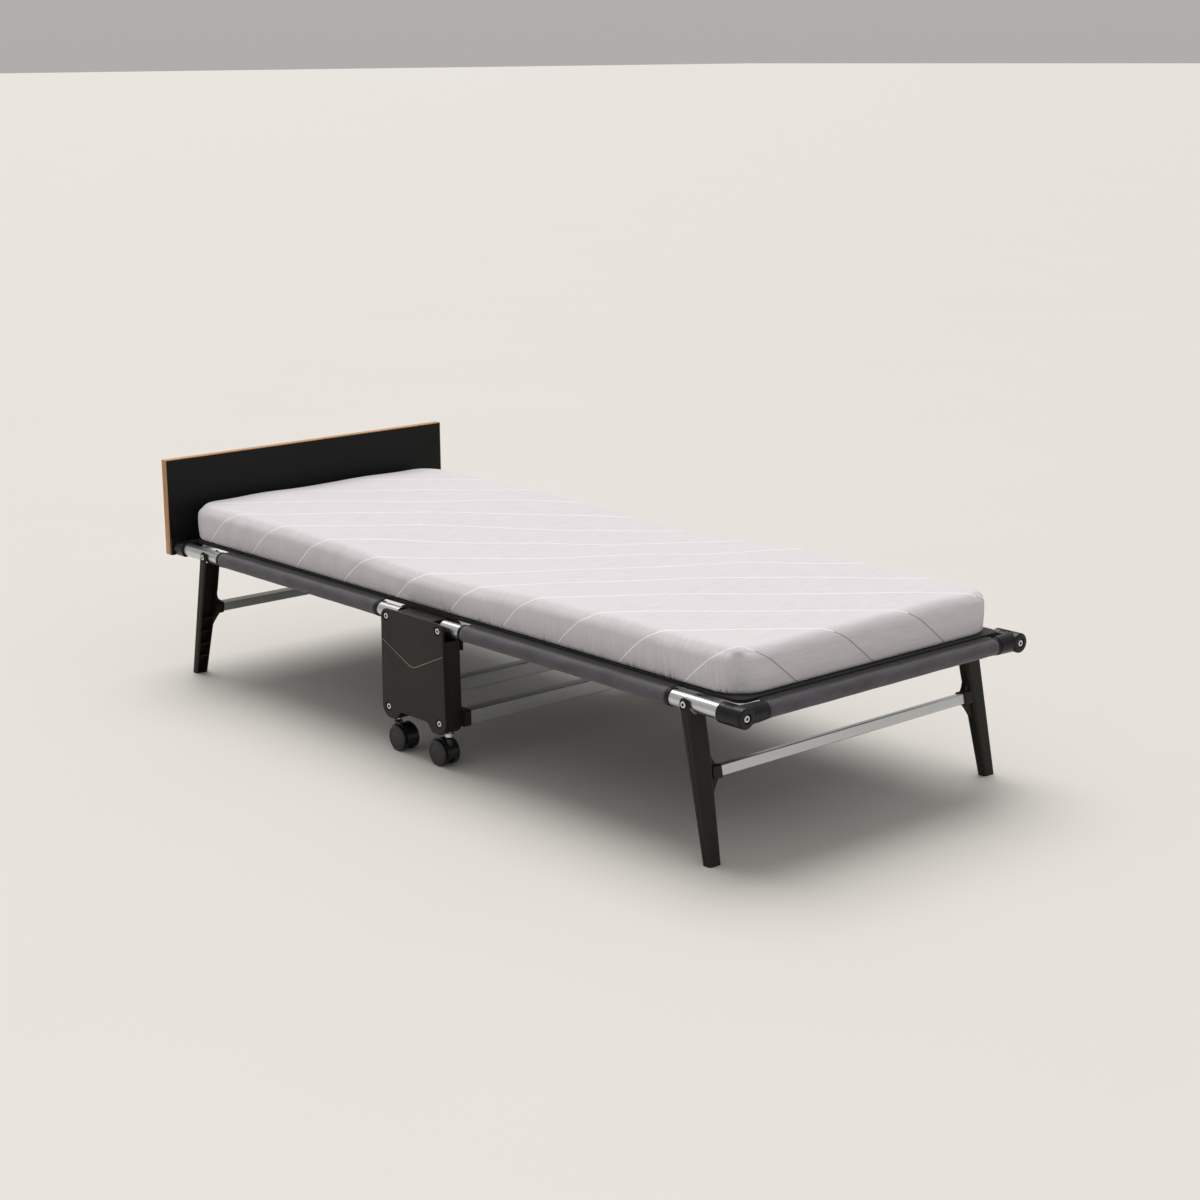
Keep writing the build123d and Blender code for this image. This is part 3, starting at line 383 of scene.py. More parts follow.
def make_pinstripe(name, colour):
    """A pale line in the groove of the hinge cover: glossy, a little uneven."""
    # a guess: the thin light line there may be a highlight on the groove and not a colour
    material, tree, shader = new_material(name)
    cloud = mottle(tree, (300, 300, 300), detail=3)
    look = {
        "Base Color": wire(tree, "mix", cloud, [c * 0.85 for c in colour], colour),
        "Roughness": 0.35,
        "IOR": 1.5,
    }
    connect(tree, shader, look)
    return material


GROOVE_OVERRUN = 4 * MM  # the V is laid out to this far past the edges of the cover
LINE_MARGIN = 7 * MM  # the line stops this far inside them
TURN_POINTS = 24


def make_groove_line(side, settings, material):
    """The pale line in the V groove of one hinge cover."""
    low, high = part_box(f"hinge_cover_{side}")
    floor_y = max(abs(low.y), abs(high.y)) - settings.groove_depth
    tip_z, side_z = high.z - settings.groove_tip, high.z - settings.groove_side
    half = (high.x - low.x) / 2
    slope = math.atan2(side_z - tip_z, half + GROOVE_OVERRUN)
    turn = settings.groove_turn
    middle_z = tip_z + turn / math.cos(slope)
    bend = np.linspace(-slope, slope, TURN_POINTS)
    arc = [(turn * math.sin(a), middle_z - turn * math.cos(a)) for a in bend]
    reach = half - LINE_MARGIN
    rim_z = tip_z + reach * math.tan(slope)
    way = SIDES[side]
    place_y = way * (floor_y + settings.groove_line)
    path = [(hinge_x + x, place_y, z) for x, z in [(-reach, rim_z), *arc, (reach, rim_z)]]
    line = sweep_round(f"hinge_cover_line_{side}", path, settings.groove_line, material, upright=(0, 1, 0))
    line.data.shade_smooth()
    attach(line, "chassis")


# ---------------------------------------------------------------- cloth


def make_knit_cover(name, settings):
    """Stretch knit with a silky face: pale lilac white, faint upright ribs, thin lines on the bias."""
    material, tree, shader = new_material(name)
    # real ribs lie under a millimetre apart; ribs and streaks are drawn coarser so that they show
    ribs = mottle(tree, (1 / settings.knit_pitch, 42, 1), detail=3, uv="cloth")
    courses = mottle(tree, (30, 1 / settings.knit_pitch, 1), detail=2, uv="cloth")
    streaks = mottle(tree, (1 / settings.streak_pitch, 16, 1), detail=3, uv="cloth")
    loops = mottle(tree, (1400, 1400, 1400), detail=2)
    cloud = mottle(tree, (5, 5, 5), detail=2)
    weave = wire(tree, "MULTIPLY_ADD", courses, 0.6, ribs)

    # the middle of a line is where the phase is at a half
    phase = add_node(tree, "ShaderNodeAttribute", {"attribute_name": "line_phase"}).outputs["Fac"]
    wander = wire(tree, "MULTIPLY_ADD", mottle(tree, (45, 45, 45)), 0.012, phase)
    offset = wire(tree, "ABSOLUTE", wire(tree, "SUBTRACT", wire(tree, "FRACT", wander), 0.5))
    half_line = settings.ribbon_width / settings.ribbon_pitch / 2
    line = add_node(
        tree,
        "ShaderNodeMapRange",
        {"interpolation_type": "SMOOTHSTEP"},
        {"Value": offset, "From Min": half_line, "From Max": half_line * 0.55},
    ).outputs["Result"]
    # painted shade: on the end walls the lines take the darker shaded colour
    end_wall = add_node(tree, "ShaderNodeAttribute", {"attribute_name": "end_wall"}).outputs["Fac"]
    line_colour = wire(tree, "mix", end_wall, settings.ribbon_colour, settings.shaded_end_ribbon_colour)

    pale = settings.colour
    shade = [c * 0.9 for c in pale]
    ground = wire(tree, "mix", wire(tree, "band", weave, 0.55, 1.05), shade, pale)
    streaked = wire(tree, "mix", wire(tree, "band", streaks, 0.62, 0.4), ground, [c * 0.87 for c in pale])
    cloudy = wire(tree, "span", wire(tree, "band", cloud, 0.35, 0.8), 0, 0.3)
    clouded = wire(tree, "mix", cloudy, streaked, shade)
    strength = wire(tree, "MULTIPLY", line, wire(tree, "span", loops, 0.85, 1.15))
    ribbed = wire(tree, "MULTIPLY_ADD", streaks, 1.4, wire(tree, "MULTIPLY_ADD", loops, 0.25, weave))
    height = wire(tree, "MULTIPLY_ADD", line, 0.8, ribbed)
    look = {
        "Base Color": wire(tree, "mix", strength, clouded, line_colour),
        "Normal": wire(tree, "bump", height, 0.35, 0.5 * MM),
        "Roughness": 0.78,
        "Sheen Weight": 0.12,
        "Sheen Roughness": 0.45,
        "IOR": 1.45,
    }
    connect(tree, shader, look)
    return material


def make_spacer_mesh(name, colour, pitch):
    """Polyester spacer mesh: rows of small oval holes painted near black for the shade in their depth, with a
    slightly silky yarn.
    """
    material, tree, shader = new_material(name)
    stretch = (1 / pitch, 1.35 / pitch, 1)
    inputs = {"Vector": pattern_space(tree, stretch, "cloth"), "Scale": 1.0, "Randomness": 0.25}
    cells = add_node(tree, "ShaderNodeTexVoronoi", inputs=inputs).outputs["Distance"]
    hole = wire(tree, "band", cells, 0.42, 0.26)
    yarn = mottle(tree, (2.2 / pitch, 5 / pitch, 1), detail=2, uv="cloth")
    lit = wire(tree, "mix", yarn, [c * 0.7 for c in colour], [c * 1.5 for c in colour])
    height = wire(tree, "SUBTRACT", wire(tree, "MULTIPLY", yarn, 0.3), hole)
    look = {
        # painted shade: the holes are coloured near black
        "Base Color": wire(tree, "mix", hole, lit, [0.0012] * 3),
        "Normal": wire(tree, "bump", height, 0.8, 0.8 * MM),
        "Roughness": 0.72,
        "Sheen Weight": 0.1,
    }
    connect(tree, shader, look)
    return material


def make_plain_weave(name, warp, weft, pitch):
    """Tight plain weave in solution-dyed polyester: two close greys in a check, softly sheened."""
    material, tree, shader = new_material(name)
    # real threads lie about half a millimetre apart; they are drawn coarser so that they show
    space = pattern_space(tree, (1 / pitch, 1 / pitch, 1), "cloth")
    parts = add_node(tree, "ShaderNodeSeparateXYZ", inputs={"Vector": space})
    along = wire(tree, "SINE", wire(tree, "MULTIPLY", parts.outputs["X"], math.pi))
    across = wire(tree, "SINE", wire(tree, "MULTIPLY", parts.outputs["Y"], math.pi))
    check = wire(tree, "MULTIPLY", along, across)
    slub = mottle(tree, (90, 900, 1), detail=3, uv="cloth")
    fade = mottle(tree, (14, 30, 1), detail=3, uv="cloth")
    woven = wire(tree, "mix", wire(tree, "band", check, -0.4, 0.4), warp, weft)
    slubbed = wire(tree, "mix", wire(tree, "band", slub, 0.5, 0.8), woven, [c * 1.35 for c in warp])
    faded = wire(tree, "mix", wire(tree, "band", fade, 0.4, 0.75), slubbed, [c * 0.8 for c in weft])
    height = wire(tree, "MULTIPLY_ADD", slub, 0.5, wire(tree, "ABSOLUTE", check))
    look = {
        "Base Color": faded,
        "Normal": wire(tree, "bump", height, 0.45, 0.35 * MM),
        "Roughness": 0.62,
        "Sheen Weight": 0.22,
        "Sheen Roughness": 0.4,
    }
    connect(tree, shader, look)
    return material


def make_sewing_thread(name, colour):
    """Twisted polyester thread: dark and slightly silky."""
    material, tree, shader = new_material(name)
    twist = mottle(tree, (2500, 2500, 2500), detail=1)
    look = {
        "Base Color": wire(tree, "mix", twist, [c * 0.6 for c in colour], [c * 1.5 for c in colour]),
        "Roughness": 0.55,
    }
    connect(tree, shader, look)
    return material


# ---------------------------------------------------------------- mesh helpers


def new_object(name, points, faces, material):
    """A smooth-shaded mesh object at the origin."""
    mesh = bpy.data.meshes.new(name)
    mesh.from_pydata(points, [], faces)
    mesh.materials.append(material)
    mesh.shade_smooth()
    shaped = bpy.data.objects.new(name, mesh)
    bpy.context.scene.collection.objects.link(shaped)
    return shaped


def face_outwards(shaped):
    """Turn every face of a closed mesh outwards."""
    work = bmesh.new()
    work.from_mesh(shaped.data)
    bmesh.ops.recalc_face_normals(work, faces=work.faces)
    work.to_mesh(shaped.data)
    work.free()


def graded(stops):
    """Grid lines from (place, spacing) stops: each stretch is divided evenly at about its spacing."""
    lines = [stops[0][0]]
    for (start, _), (end, spacing) in zip(stops, stops[1:]):
        count = max(1, round(abs(end - start) / spacing))
        lines.extend(start + (end - start) * step / count for step in range(1, count + 1))
    return np.array(lines)


class Pad:
    """A flat closed pad for one half of the bed: square at the fold, rounded at its outer corners.

    Its surface is the skin of a grid of lines: s out from the fold, y across, and a share of the height.
    """

    def __init__(self, end, s_lines, y_lines, levels):
        self.end = end
        self.lines = s_lines, y_lines, levels
        self.length, self.half = s_lines[-1], y_lines[-1]
        self.build_skin()

    def build_skin(self):
        """Number the grid points on the skin and join them into quads, each with the name of its wall."""
        last = [len(lines) - 1 for lines in self.lines]
        self.numbers, self.quads, self.walls = {}, [], []
        names = (("fold", "tip"), ("left", "right"), ("under", "top"))
        for axis, pair in enumerate(names):
            across = [other for other in range(3) if other != axis]
            for at_end, wall in enumerate(pair):
                for first in range(last[across[0]]):
                    for second in range(last[across[1]]):
                        self.add_quad(axis, at_end * last[axis], across, first, second, wall)
        self.grid = np.array(list(self.numbers))

    def add_quad(self, axis, level, across, first, second, wall):
        """One quad of a wall."""
        corners = []
        for step, side in ((0, 0), (1, 0), (1, 1), (0, 1)):
            key = [level] * 3
            key[across[0]] = first + step
            key[across[1]] = second + side
            corners.append(self.numbers.setdefault(tuple(key), len(self.numbers)))
        self.quads.append(corners)
        self.walls.append(wall)

    def shape(self, corner, top_edge, under_edge, under_z, top_z):
        """Round the skin. top_z is a height for each point. Keeps what later steps need."""
        s, y, level = (lines[self.grid[:, axis]] for axis, lines in enumerate(self.lines))
        height = top_z(s) - under_z
        inner_s = np.minimum(s, self.length - corner)
        inner_y = np.clip(y, corner - self.half, self.half - corner)
        a, b = (s - inner_s) / corner, (y - inner_y) / corner
        reach = np.maximum(a, abs(b))
        norm = np.maximum(np.hypot(a, b), 1e-9)
        inset, depth, rise = corner * (1 - reach), (1 - level) * height, level * height
        self.s, self.y, self.level, self.depth = s, y, level, depth
        self.diagonal = np.where(np.minimum(a, abs(b)) > 0, 1 - abs(a - abs(b)), 0)
        upright = np.where(level == 1, 1.0, np.where(level == 0, -1.0, 0.0))
        for drop, radius, way in ((depth, top_edge, 1), (rise, under_edge, -1)):
            rounded = (inset < radius) & (drop < radius)
            angle = math.pi / 4 * (1 + inset / radius - drop / radius)
            upright = np.where(rounded, way * np.sin(angle), upright)
            inset = np.where(rounded, radius * (1 - np.cos(angle)), inset)
            if way == 1:
                depth = np.where(rounded, radius * (1 - np.sin(angle)), depth)
            else:
                depth = np.where(rounded, height - radius * (1 - np.sin(angle)), depth)
        radial = corner - inset
        self.out_s, self.out_y, self.up = a / norm, b / norm, upright
        self.out = np.sqrt(np.maximum(0, 1 - upright**2)) * (reach > 0)
        self.x = hinge_x + self.end * (inner_s + self.out_s * radial)
        self.place_y = inner_y + self.out_y * radial
        self.z = under_z + height - depth
        # the fold face lies flat, inside its rounded rim
        inside = (s == 0) & (abs(y) < self.half) & (level > 0) & (level < 1)
        centred = (level - 0.5) * (1 - 2 * top_edge / height)
        self.place_y = np.where(inside, y * (1 - top_edge / self.half), self.place_y)
        self.z = np.where(inside, under_z + height * (0.5 + centred), self.z)
        self.out, self.up = (np.where(inside, 0, way) for way in (self.out, self.up))

    def swell(self, distance):
        """Move each point outwards, level with the floor."""
        self.x = self.x + self.end * self.out_s * self.out * distance
        self.place_y = self.place_y + self.out_y * self.out * distance

    def flat_cloth(self):
        """Where each face corner lies on the flat cut cloth, in metres."""
        flat_x = hinge_x + self.end * self.s
        corners = np.array(self.quads)
        walls = np.repeat(np.array(self.walls)[:, None], 4, axis=1)
        u, v = flat_x[corners], self.y[corners]
        drop = self.depth[corners]
        v = np.where(walls == "left", -self.half - drop, v)
        v = np.where(walls == "right", self.half + drop, v)
        u = np.where(walls == "tip", u + self.end * drop, u)
        return u.ravel(), v.ravel()

    def make(self, name, material):
        """The mesh object, with its flat cloth as a UV map and a crisp edge round the fold face."""
        points = np.stack([self.x, self.place_y, self.z], 1).tolist()
        shaped = new_object(name, points, self.quads, material)
        u, v = self.flat_cloth()
        layer = shaped.data.uv_layers.new(name="cloth")
        layer.data.foreach_set("uv", np.stack([u, v], 1).astype(np.float32).ravel())
        last = np.array([len(lines) - 1 for lines in self.lines])
        grid = self.grid
        on_rim = (grid[:, 0] == 0) & ((grid[:, 1:] == 0) | (grid[:, 1:] == last[1:])).any(1)
        ends = np.zeros(len(shaped.data.edges) * 2, np.int32)
        shaped.data.edges.foreach_get("vertices", ends)
        crisp = on_rim[ends.reshape(-1, 2)].all(1)
        shaped.data.edges.foreach_set("use_edge_sharp", crisp)
        face_outwards(shaped)
        return shaped


def bend_over_hinge(shaped):
    """Bake a piece's placement into its mesh."""
    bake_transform(shaped)


# ---------------------------------------------------------------- mattress

# Knitted lines run on the bias: metres along the bed per metre across the top, and per metre down each wall
LINE_LEAN = 0.88
SIDE_LEAN = 1.18
TIP_LEAN = 1.1
FIRST_LINE = 36.6 * MM  # foot of the line nearest the hinge


def smooth(value, start, end):
    """Smooth step from 0 at start to 1 at end."""
    share = np.clip((value - start) / (end - start), 0, 1)
    return share * share * (3 - 2 * share)


def uneven_wave(place, pitch, seed):
    """Ripples about one pitch apart that come and go: close wavelengths that beat against each other."""
    draw = np.random.default_rng(seed)
    wave = np.zeros_like(place)
    for stretch in (0.7, 0.85, 1.0, 1.3, 1.7):
        wave += np.sin(2 * math.pi * place / (pitch * stretch) + draw.uniform(0, 2 * math.pi))
    return wave / 2.4


def gather_cover(pad, settings):
    """Swell the side walls, pleat the lower hem and pinch the outer corners."""
    rise = pad.level * (pad.z.max() - pad.z.min())
    along_side, along_tip = pad.out_y**4, pad.out_s**4
    pad.swell(settings.bulge * np.sin(math.pi * pad.level) * (0.4 + 0.6 * along_side))
    along_side = along_side * smooth(pad.s, 0, 60 * MM)
    soft = 0.9 * MM * np.sin(math.pi * pad.level)
    pad.swell(soft * uneven_wave(pad.s + 0.4 * rise, 85 * MM, 3) * along_side)
    leaning = pad.s - 0.35 * rise
    far_side = np.where(pad.y > 0, 0.37, 0)
    hems = ((leaning + far_side, along_side, 5), (pad.y + 0.2 * rise, 0.4 * along_tip, 9))
    for place, weight, seed in hems:
        reach = (20 + 9 * uneven_wave(place, 70 * MM, seed + 1)) * MM
        strength = np.clip(0.65 + 0.5 * uneven_wave(place, 130 * MM, seed + 2), 0.1, 1.2)
        fade = np.clip(1 - rise / np.maximum(reach, 9 * MM), 0, 1) ** 1.4
        pleats = np.minimum(uneven_wave(place, settings.gather_pitch, seed), 0.35)
        pad.swell(settings.gather_depth * pleats * fade * strength * weight)
    fold = smooth(pad.diagonal, 0.55, 1.0)
    shoulder = smooth(pad.diagonal, 0.05, 0.5) * (1 - fold)
    height = smooth(pad.level, 1.02, 0.86) * (0.5 + 0.5 * pad.level)
    pad.swell(height * settings.crease * (0.35 * shoulder - fold))


def settle_top(pad):
    """Let the top lie in slow, shallow waves."""
    lying = np.clip(pad.up, 0, 1)
    waves = uneven_wave(pad.x + 0.3 * pad.y, 310 * MM, 11) + uneven_wave(pad.y - 0.2 * pad.x, 240 * MM, 12)
    calm = smooth(pad.s, 0, 90 * MM)
    pad.z = pad.z + lying * calm * (1.0 * MM * waves + 1.5 * MM * (1 - (pad.y / pad.half) ** 2))


def line_phase(pad, settings):
    """For each face corner, line spacings along the bed; the middle of a line is at a half."""
    corners = np.array(pad.quads)
    walls = np.repeat(np.array(pad.walls)[:, None], 4, axis=1)
    x, y, drop = (hinge_x + pad.end * pad.s)[corners], pad.y[corners], pad.depth[corners]
    along = x - LINE_LEAN * y
    along = np.where(walls == "left", x + LINE_LEAN * pad.half + SIDE_LEAN * drop, along)
    along = np.where(walls == "right", x - LINE_LEAN * pad.half - SIDE_LEAN * drop, along)
    along = np.where(walls == "tip", x + pad.end * TIP_LEAN * drop - LINE_LEAN * y, along)
    wall_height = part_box("foot_mattress")[1].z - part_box("foot_mattress")[0].z
    first = hinge_x + FIRST_LINE + LINE_LEAN * pad.half + SIDE_LEAN * wall_height
    phase = (along - first) / settings.ribbon_pitch + 0.5
    return np.where((walls == "under") | (walls == "fold"), 0, phase).ravel()


def make_mattress_half(end, settings, material):
    """One half of the mattress, closed where it meets the other at the middle of the hinge."""
    node = f"{end}_mattress"
    low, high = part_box(node)
    length = max(abs(low.x - hinge_x), abs(high.x - hinge_x))
    half = high.y
    corner_s = length - settings.corner
    s_lines = graded([(0, 0), (length - 75 * MM, 3.6 * MM), (corner_s, 3 * MM), (length, 2.4 * MM)])
    side = graded([(0, 0), (settings.corner, 2.4 * MM), (95 * MM, 4.5 * MM), (half, 7.5 * MM)])
    y_lines = np.concatenate([side - half, (half - side[:-1])[::-1]])
    levels = graded([(0, 0), (0.45, 0.03), (1, 0.046)])
    pad = Pad(ENDS[end], s_lines, y_lines, levels)

    def top(s):
        return settings.fold_height + (high.z - settings.fold_height) * smooth(s, 30 * MM, 440 * MM)

    pad.shape(settings.corner, settings.top_edge, settings.under_edge, low.z + 0.3 * MM, top)
    gather_cover(pad, settings)
    settle_top(pad)
    mattress = pad.make(f"mattress_{end}_half", material)
    phase = mattress.data.attributes.new("line_phase", "FLOAT", "CORNER")
    phase.data.foreach_set("value", line_phase(pad, settings).astype(np.float32))
    tip = np.repeat(np.array(pad.walls) == "tip", 4).astype(np.float32)
    mattress.data.attributes.new("end_wall", "FLOAT", "CORNER").data.foreach_set("value", tip)
    bend_over_hinge(mattress)
    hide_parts(node)


# ---------------------------------------------------------------- deck


def rim_path(pad_length, half, corner, inset, way, step=6 * MM):
    """Points (x, y) round the open rim of one half of the deck, from the hinge out and back."""
    length, half, corner = pad_length - inset, half - inset, corner - inset
    straight = graded([(0, 0), (length - corner, step)])
    turn = np.linspace(0, math.pi / 2, 12)[1:]
    across = graded([(corner - half, 0), (half - corner, step)])[1:]
    points = [(s, -half) for s in straight]
    points += [(length - corner + corner * math.sin(a), corner - half - corner * math.cos(a)) for a in turn]
    points += [(length, y) for y in across]
    points += [(length - corner + corner * math.cos(a), half - corner + corner * math.sin(a)) for a in turn]
    points += [(s, half) for s in straight[:-1][::-1]]
    return [(hinge_x + way * s, y) for s, y in points]


def sweep_round(name, path, radius, material, upright=(0, 0, 1), sides=8):
    """A closed round cord along a path that lies square to the upright direction."""
    path = [Vector(point) for point in path]
    upright = Vector(upright)
    rings = []
    for index, point in enumerate(path):
        ahead = path[min(index + 1, len(path) - 1)] - path[max(index - 1, 0)]
        outward = ahead.cross(upright).normalized()
        for side in range(sides):
            angle = 2 * math.pi * side / sides
            rings.append(point + radius * (math.cos(angle) * outward + math.sin(angle) * upright))
    faces = []
    for index in range(len(path) - 1):
        for side in range(sides):
            near, far = index * sides, (index + 1) * sides
            turn = (side + 1) % sides
            faces.append((near + side, near + turn, far + turn, far + side))
    faces.append(tuple(range(sides)))
    faces.append(tuple(range(len(rings) - sides, len(rings))))
    cord = new_object(name, [tuple(point) for point in rings], faces, material)
    face_outwards(cord)
    return cord


def join_objects(name, parts):
    """Join several mesh objects into one."""
    work = bmesh.new()
    for part in parts:
        work.from_mesh(part.data)
    mesh = bpy.data.meshes.new(name)
    for material in parts[0].data.materials:
        mesh.materials.append(material)
    work.to_mesh(mesh)
    work.free()
    for part in parts:
        bpy.data.objects.remove(part)
    joined = bpy.data.objects.new(name, mesh)
    bpy.context.scene.collection.objects.link(joined)
    return joined


def make_deck_half(end, settings, sleeve_settings, finishes):
    """One half of the mesh deck, its two rim cords and its row of stitches."""
    mesh_finish, cord_finish, thread_finish = finishes
    node = f"{end}_deck"
    low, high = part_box(node)
    length = max(abs(low.x - hinge_x), abs(high.x - hinge_x))
    half, way = high.y, ENDS[end]
    s_lines = graded([(0, 0), (length - settings.corner, 9 * MM), (length, 3 * MM)])
    side = graded([(0, 0), (settings.corner, 3 * MM), (half, 14 * MM)])
    y_lines = np.concatenate([side - half, (half - side[:-1])[::-1]])
    pad = Pad(way, s_lines, y_lines, graded([(0, 0), (1, 0.25)]))
    pad.shape(settings.corner, settings.rim, settings.rim, low.z, lambda s: high.z + 0 * s)
    deck = pad.make(f"deck_{end}_mesh", mesh_finish)

    cords = []
    for z in (low.z + settings.cord * 0.4, high.z - settings.cord * 0.4):
        outline = rim_path(length, half, settings.corner, 0.3 * MM, way)
        cords.append(sweep_round("cord", [(x, y, z) for x, y in outline], settings.cord, cord_finish))
    rim = join_objects(f"deck_{end}_rim_cords", cords)
    rim.data.shade_smooth()

    row = rim_path(length, half, settings.corner, settings.stitch_inset, way)
    stitches = sew(f"deck_{end}_stitches", [(x, y, high.z) for x, y in row], sleeve_settings, thread_finish)
    for piece in (deck, rim, stitches):
        bend_over_hinge(piece)
    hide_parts(node)


# ---------------------------------------------------------------- stitches


def stitch_tree(material):
    """Geometry nodes that lay one small capsule per stitch along a path."""
    tree = bpy.data.node_groups.new("row_of_stitches", "GeometryNodeTree")
    tree.interface.new_socket("Path", in_out="INPUT", socket_type="NodeSocketGeometry")
    for name in ("Stitch pitch", "Stitch length", "Thread radius"):
        tree.interface.new_socket(name, in_out="INPUT", socket_type="NodeSocketFloat")
    tree.interface.new_socket("Stitches", in_out="OUTPUT", socket_type="NodeSocketGeometry")
    given = add_node(tree, "NodeGroupInput").outputs
    inputs = {"Curve": given["Path"], "Length": given["Stitch pitch"]}
    points = add_node(tree, "GeometryNodeCurveToPoints", {"mode": "LENGTH"}, inputs).outputs
    inputs = {"Vector": points["Tangent"]}
    turned = add_node(tree, "FunctionNodeAlignRotationToVector", {"axis": "X"}, inputs)
    ball = add_node(tree, "GeometryNodeMeshUVSphere", inputs={"Segments": 7, "Rings": 6, "Radius": 1.0})
    half_length = wire(tree, "MULTIPLY", given["Stitch length"], 0.5)
    thread = given["Thread radius"]
    size = add_node(tree, "ShaderNodeCombineXYZ", inputs={"X": half_length, "Y": thread, "Z": thread})
    inputs = {2: 0.85, 3: 1.12, "Seed": 4}
    jitter = add_node(tree, "FunctionNodeRandomValue", {"data_type": "FLOAT"}, inputs)
    inputs = {"Vector": size.outputs["Vector"], "Scale": jitter.outputs[1]}
    uneven = add_node(tree, "ShaderNodeVectorMath", {"operation": "SCALE"}, inputs)
    inputs = {
        "Points": points["Points"],
        "Instance": ball.outputs["Mesh"],
        "Rotation": turned.outputs["Rotation"],
        "Scale": uneven.outputs["Vector"],
    }
    laid = add_node(tree, "GeometryNodeInstanceOnPoints", inputs=inputs).outputs["Instances"]
    real = add_node(tree, "GeometryNodeRealizeInstances", inputs={"Geometry": laid})
    inputs = {"Geometry": real.outputs["Geometry"], "Material": material}
    finished = add_node(tree, "GeometryNodeSetMaterial", inputs=inputs)
    add_node(tree, "NodeGroupOutput", inputs={"Stitches": finished.outputs["Geometry"]})
    return tree


def sew(name, path, settings, thread_finish):
    """A row of stitches along a path of points, as a plain mesh."""
    tree = bpy.data.node_groups.get("row_of_stitches") or stitch_tree(thread_finish)
    curve = bpy.data.curves.new(f"{name}_path", "CURVE")
    curve.dimensions = "3D"
    spline = curve.splines.new("POLY")
    spline.points.add(len(path) - 1)
    spline.points.foreach_set("co", [value for point in path for value in (*point, 1)])
    guide = bpy.data.objects.new(f"{name}_path", curve)
    bpy.context.scene.collection.objects.link(guide)
    modifier = guide.modifiers.new("stitches", "NODES")
    modifier.node_group = tree
    sizes = {
        "Stitch pitch": settings.stitch_pitch,
        "Stitch length": settings.stitch_length,
        "Thread radius": settings.thread,
    }
    for item in tree.interface.items_tree:
        if item.in_out == "INPUT" and item.name in sizes:
            modifier[item.identifier] = sizes[item.name]
    evaluated = guide.evaluated_get(bpy.context.evaluated_depsgraph_get())
    mesh = bpy.data.meshes.new_from_object(evaluated)
    mesh.name = name
    mesh.shade_smooth()
    guide.modifiers.remove(modifier)
    bpy.data.objects.remove(guide)
    row = bpy.data.objects.new(name, mesh)
    bpy.context.scene.collection.objects.link(row)
    return row


# ---------------------------------------------------------------- sleeves


def sleeve_loop(radius, inner_radius, apex, ply, count=40):
    """Outline of a sleeve across its tube, in (inwards, up) from the tube axis, with a doubled flap.

    Returns the outer points, the matching points on the tube, which outer points are on the flap, and
    the angle of each.
    """
    distance = math.hypot(*apex)
    leaves = math.atan2(apex[1], apex[0]) + math.acos(radius / distance)
    meets = 2 * math.pi - math.acos((radius - ply) / radius)
    lower = apex[0] - ply * math.cos(leaves), apex[1] - ply * math.sin(leaves)
    angles = [leaves + meets * step / count for step in range(count + 1)]
    outer = [(radius * math.cos(a), radius * math.sin(a)) for a in angles]
    shares = np.linspace(0, 1, 5)[:, None]
    under = np.array(outer[-1]) + shares[1:] * (np.array(lower) - outer[-1])
    over = np.array(apex) + shares[:-1] * (np.array(outer[0]) - apex)
    flap = [*map(tuple, under.tolist()), *map(tuple, over.tolist())]
    rest = [angles[-1] + (2 * math.pi - meets) * (step + 1) / (len(flap) + 1) for step in range(len(flap))]
    inner = [(inner_radius * math.cos(a), inner_radius * math.sin(a)) for a in angles + rest]
    return outer + flap, inner, [False] * len(outer) + [True] * len(flap), angles + rest


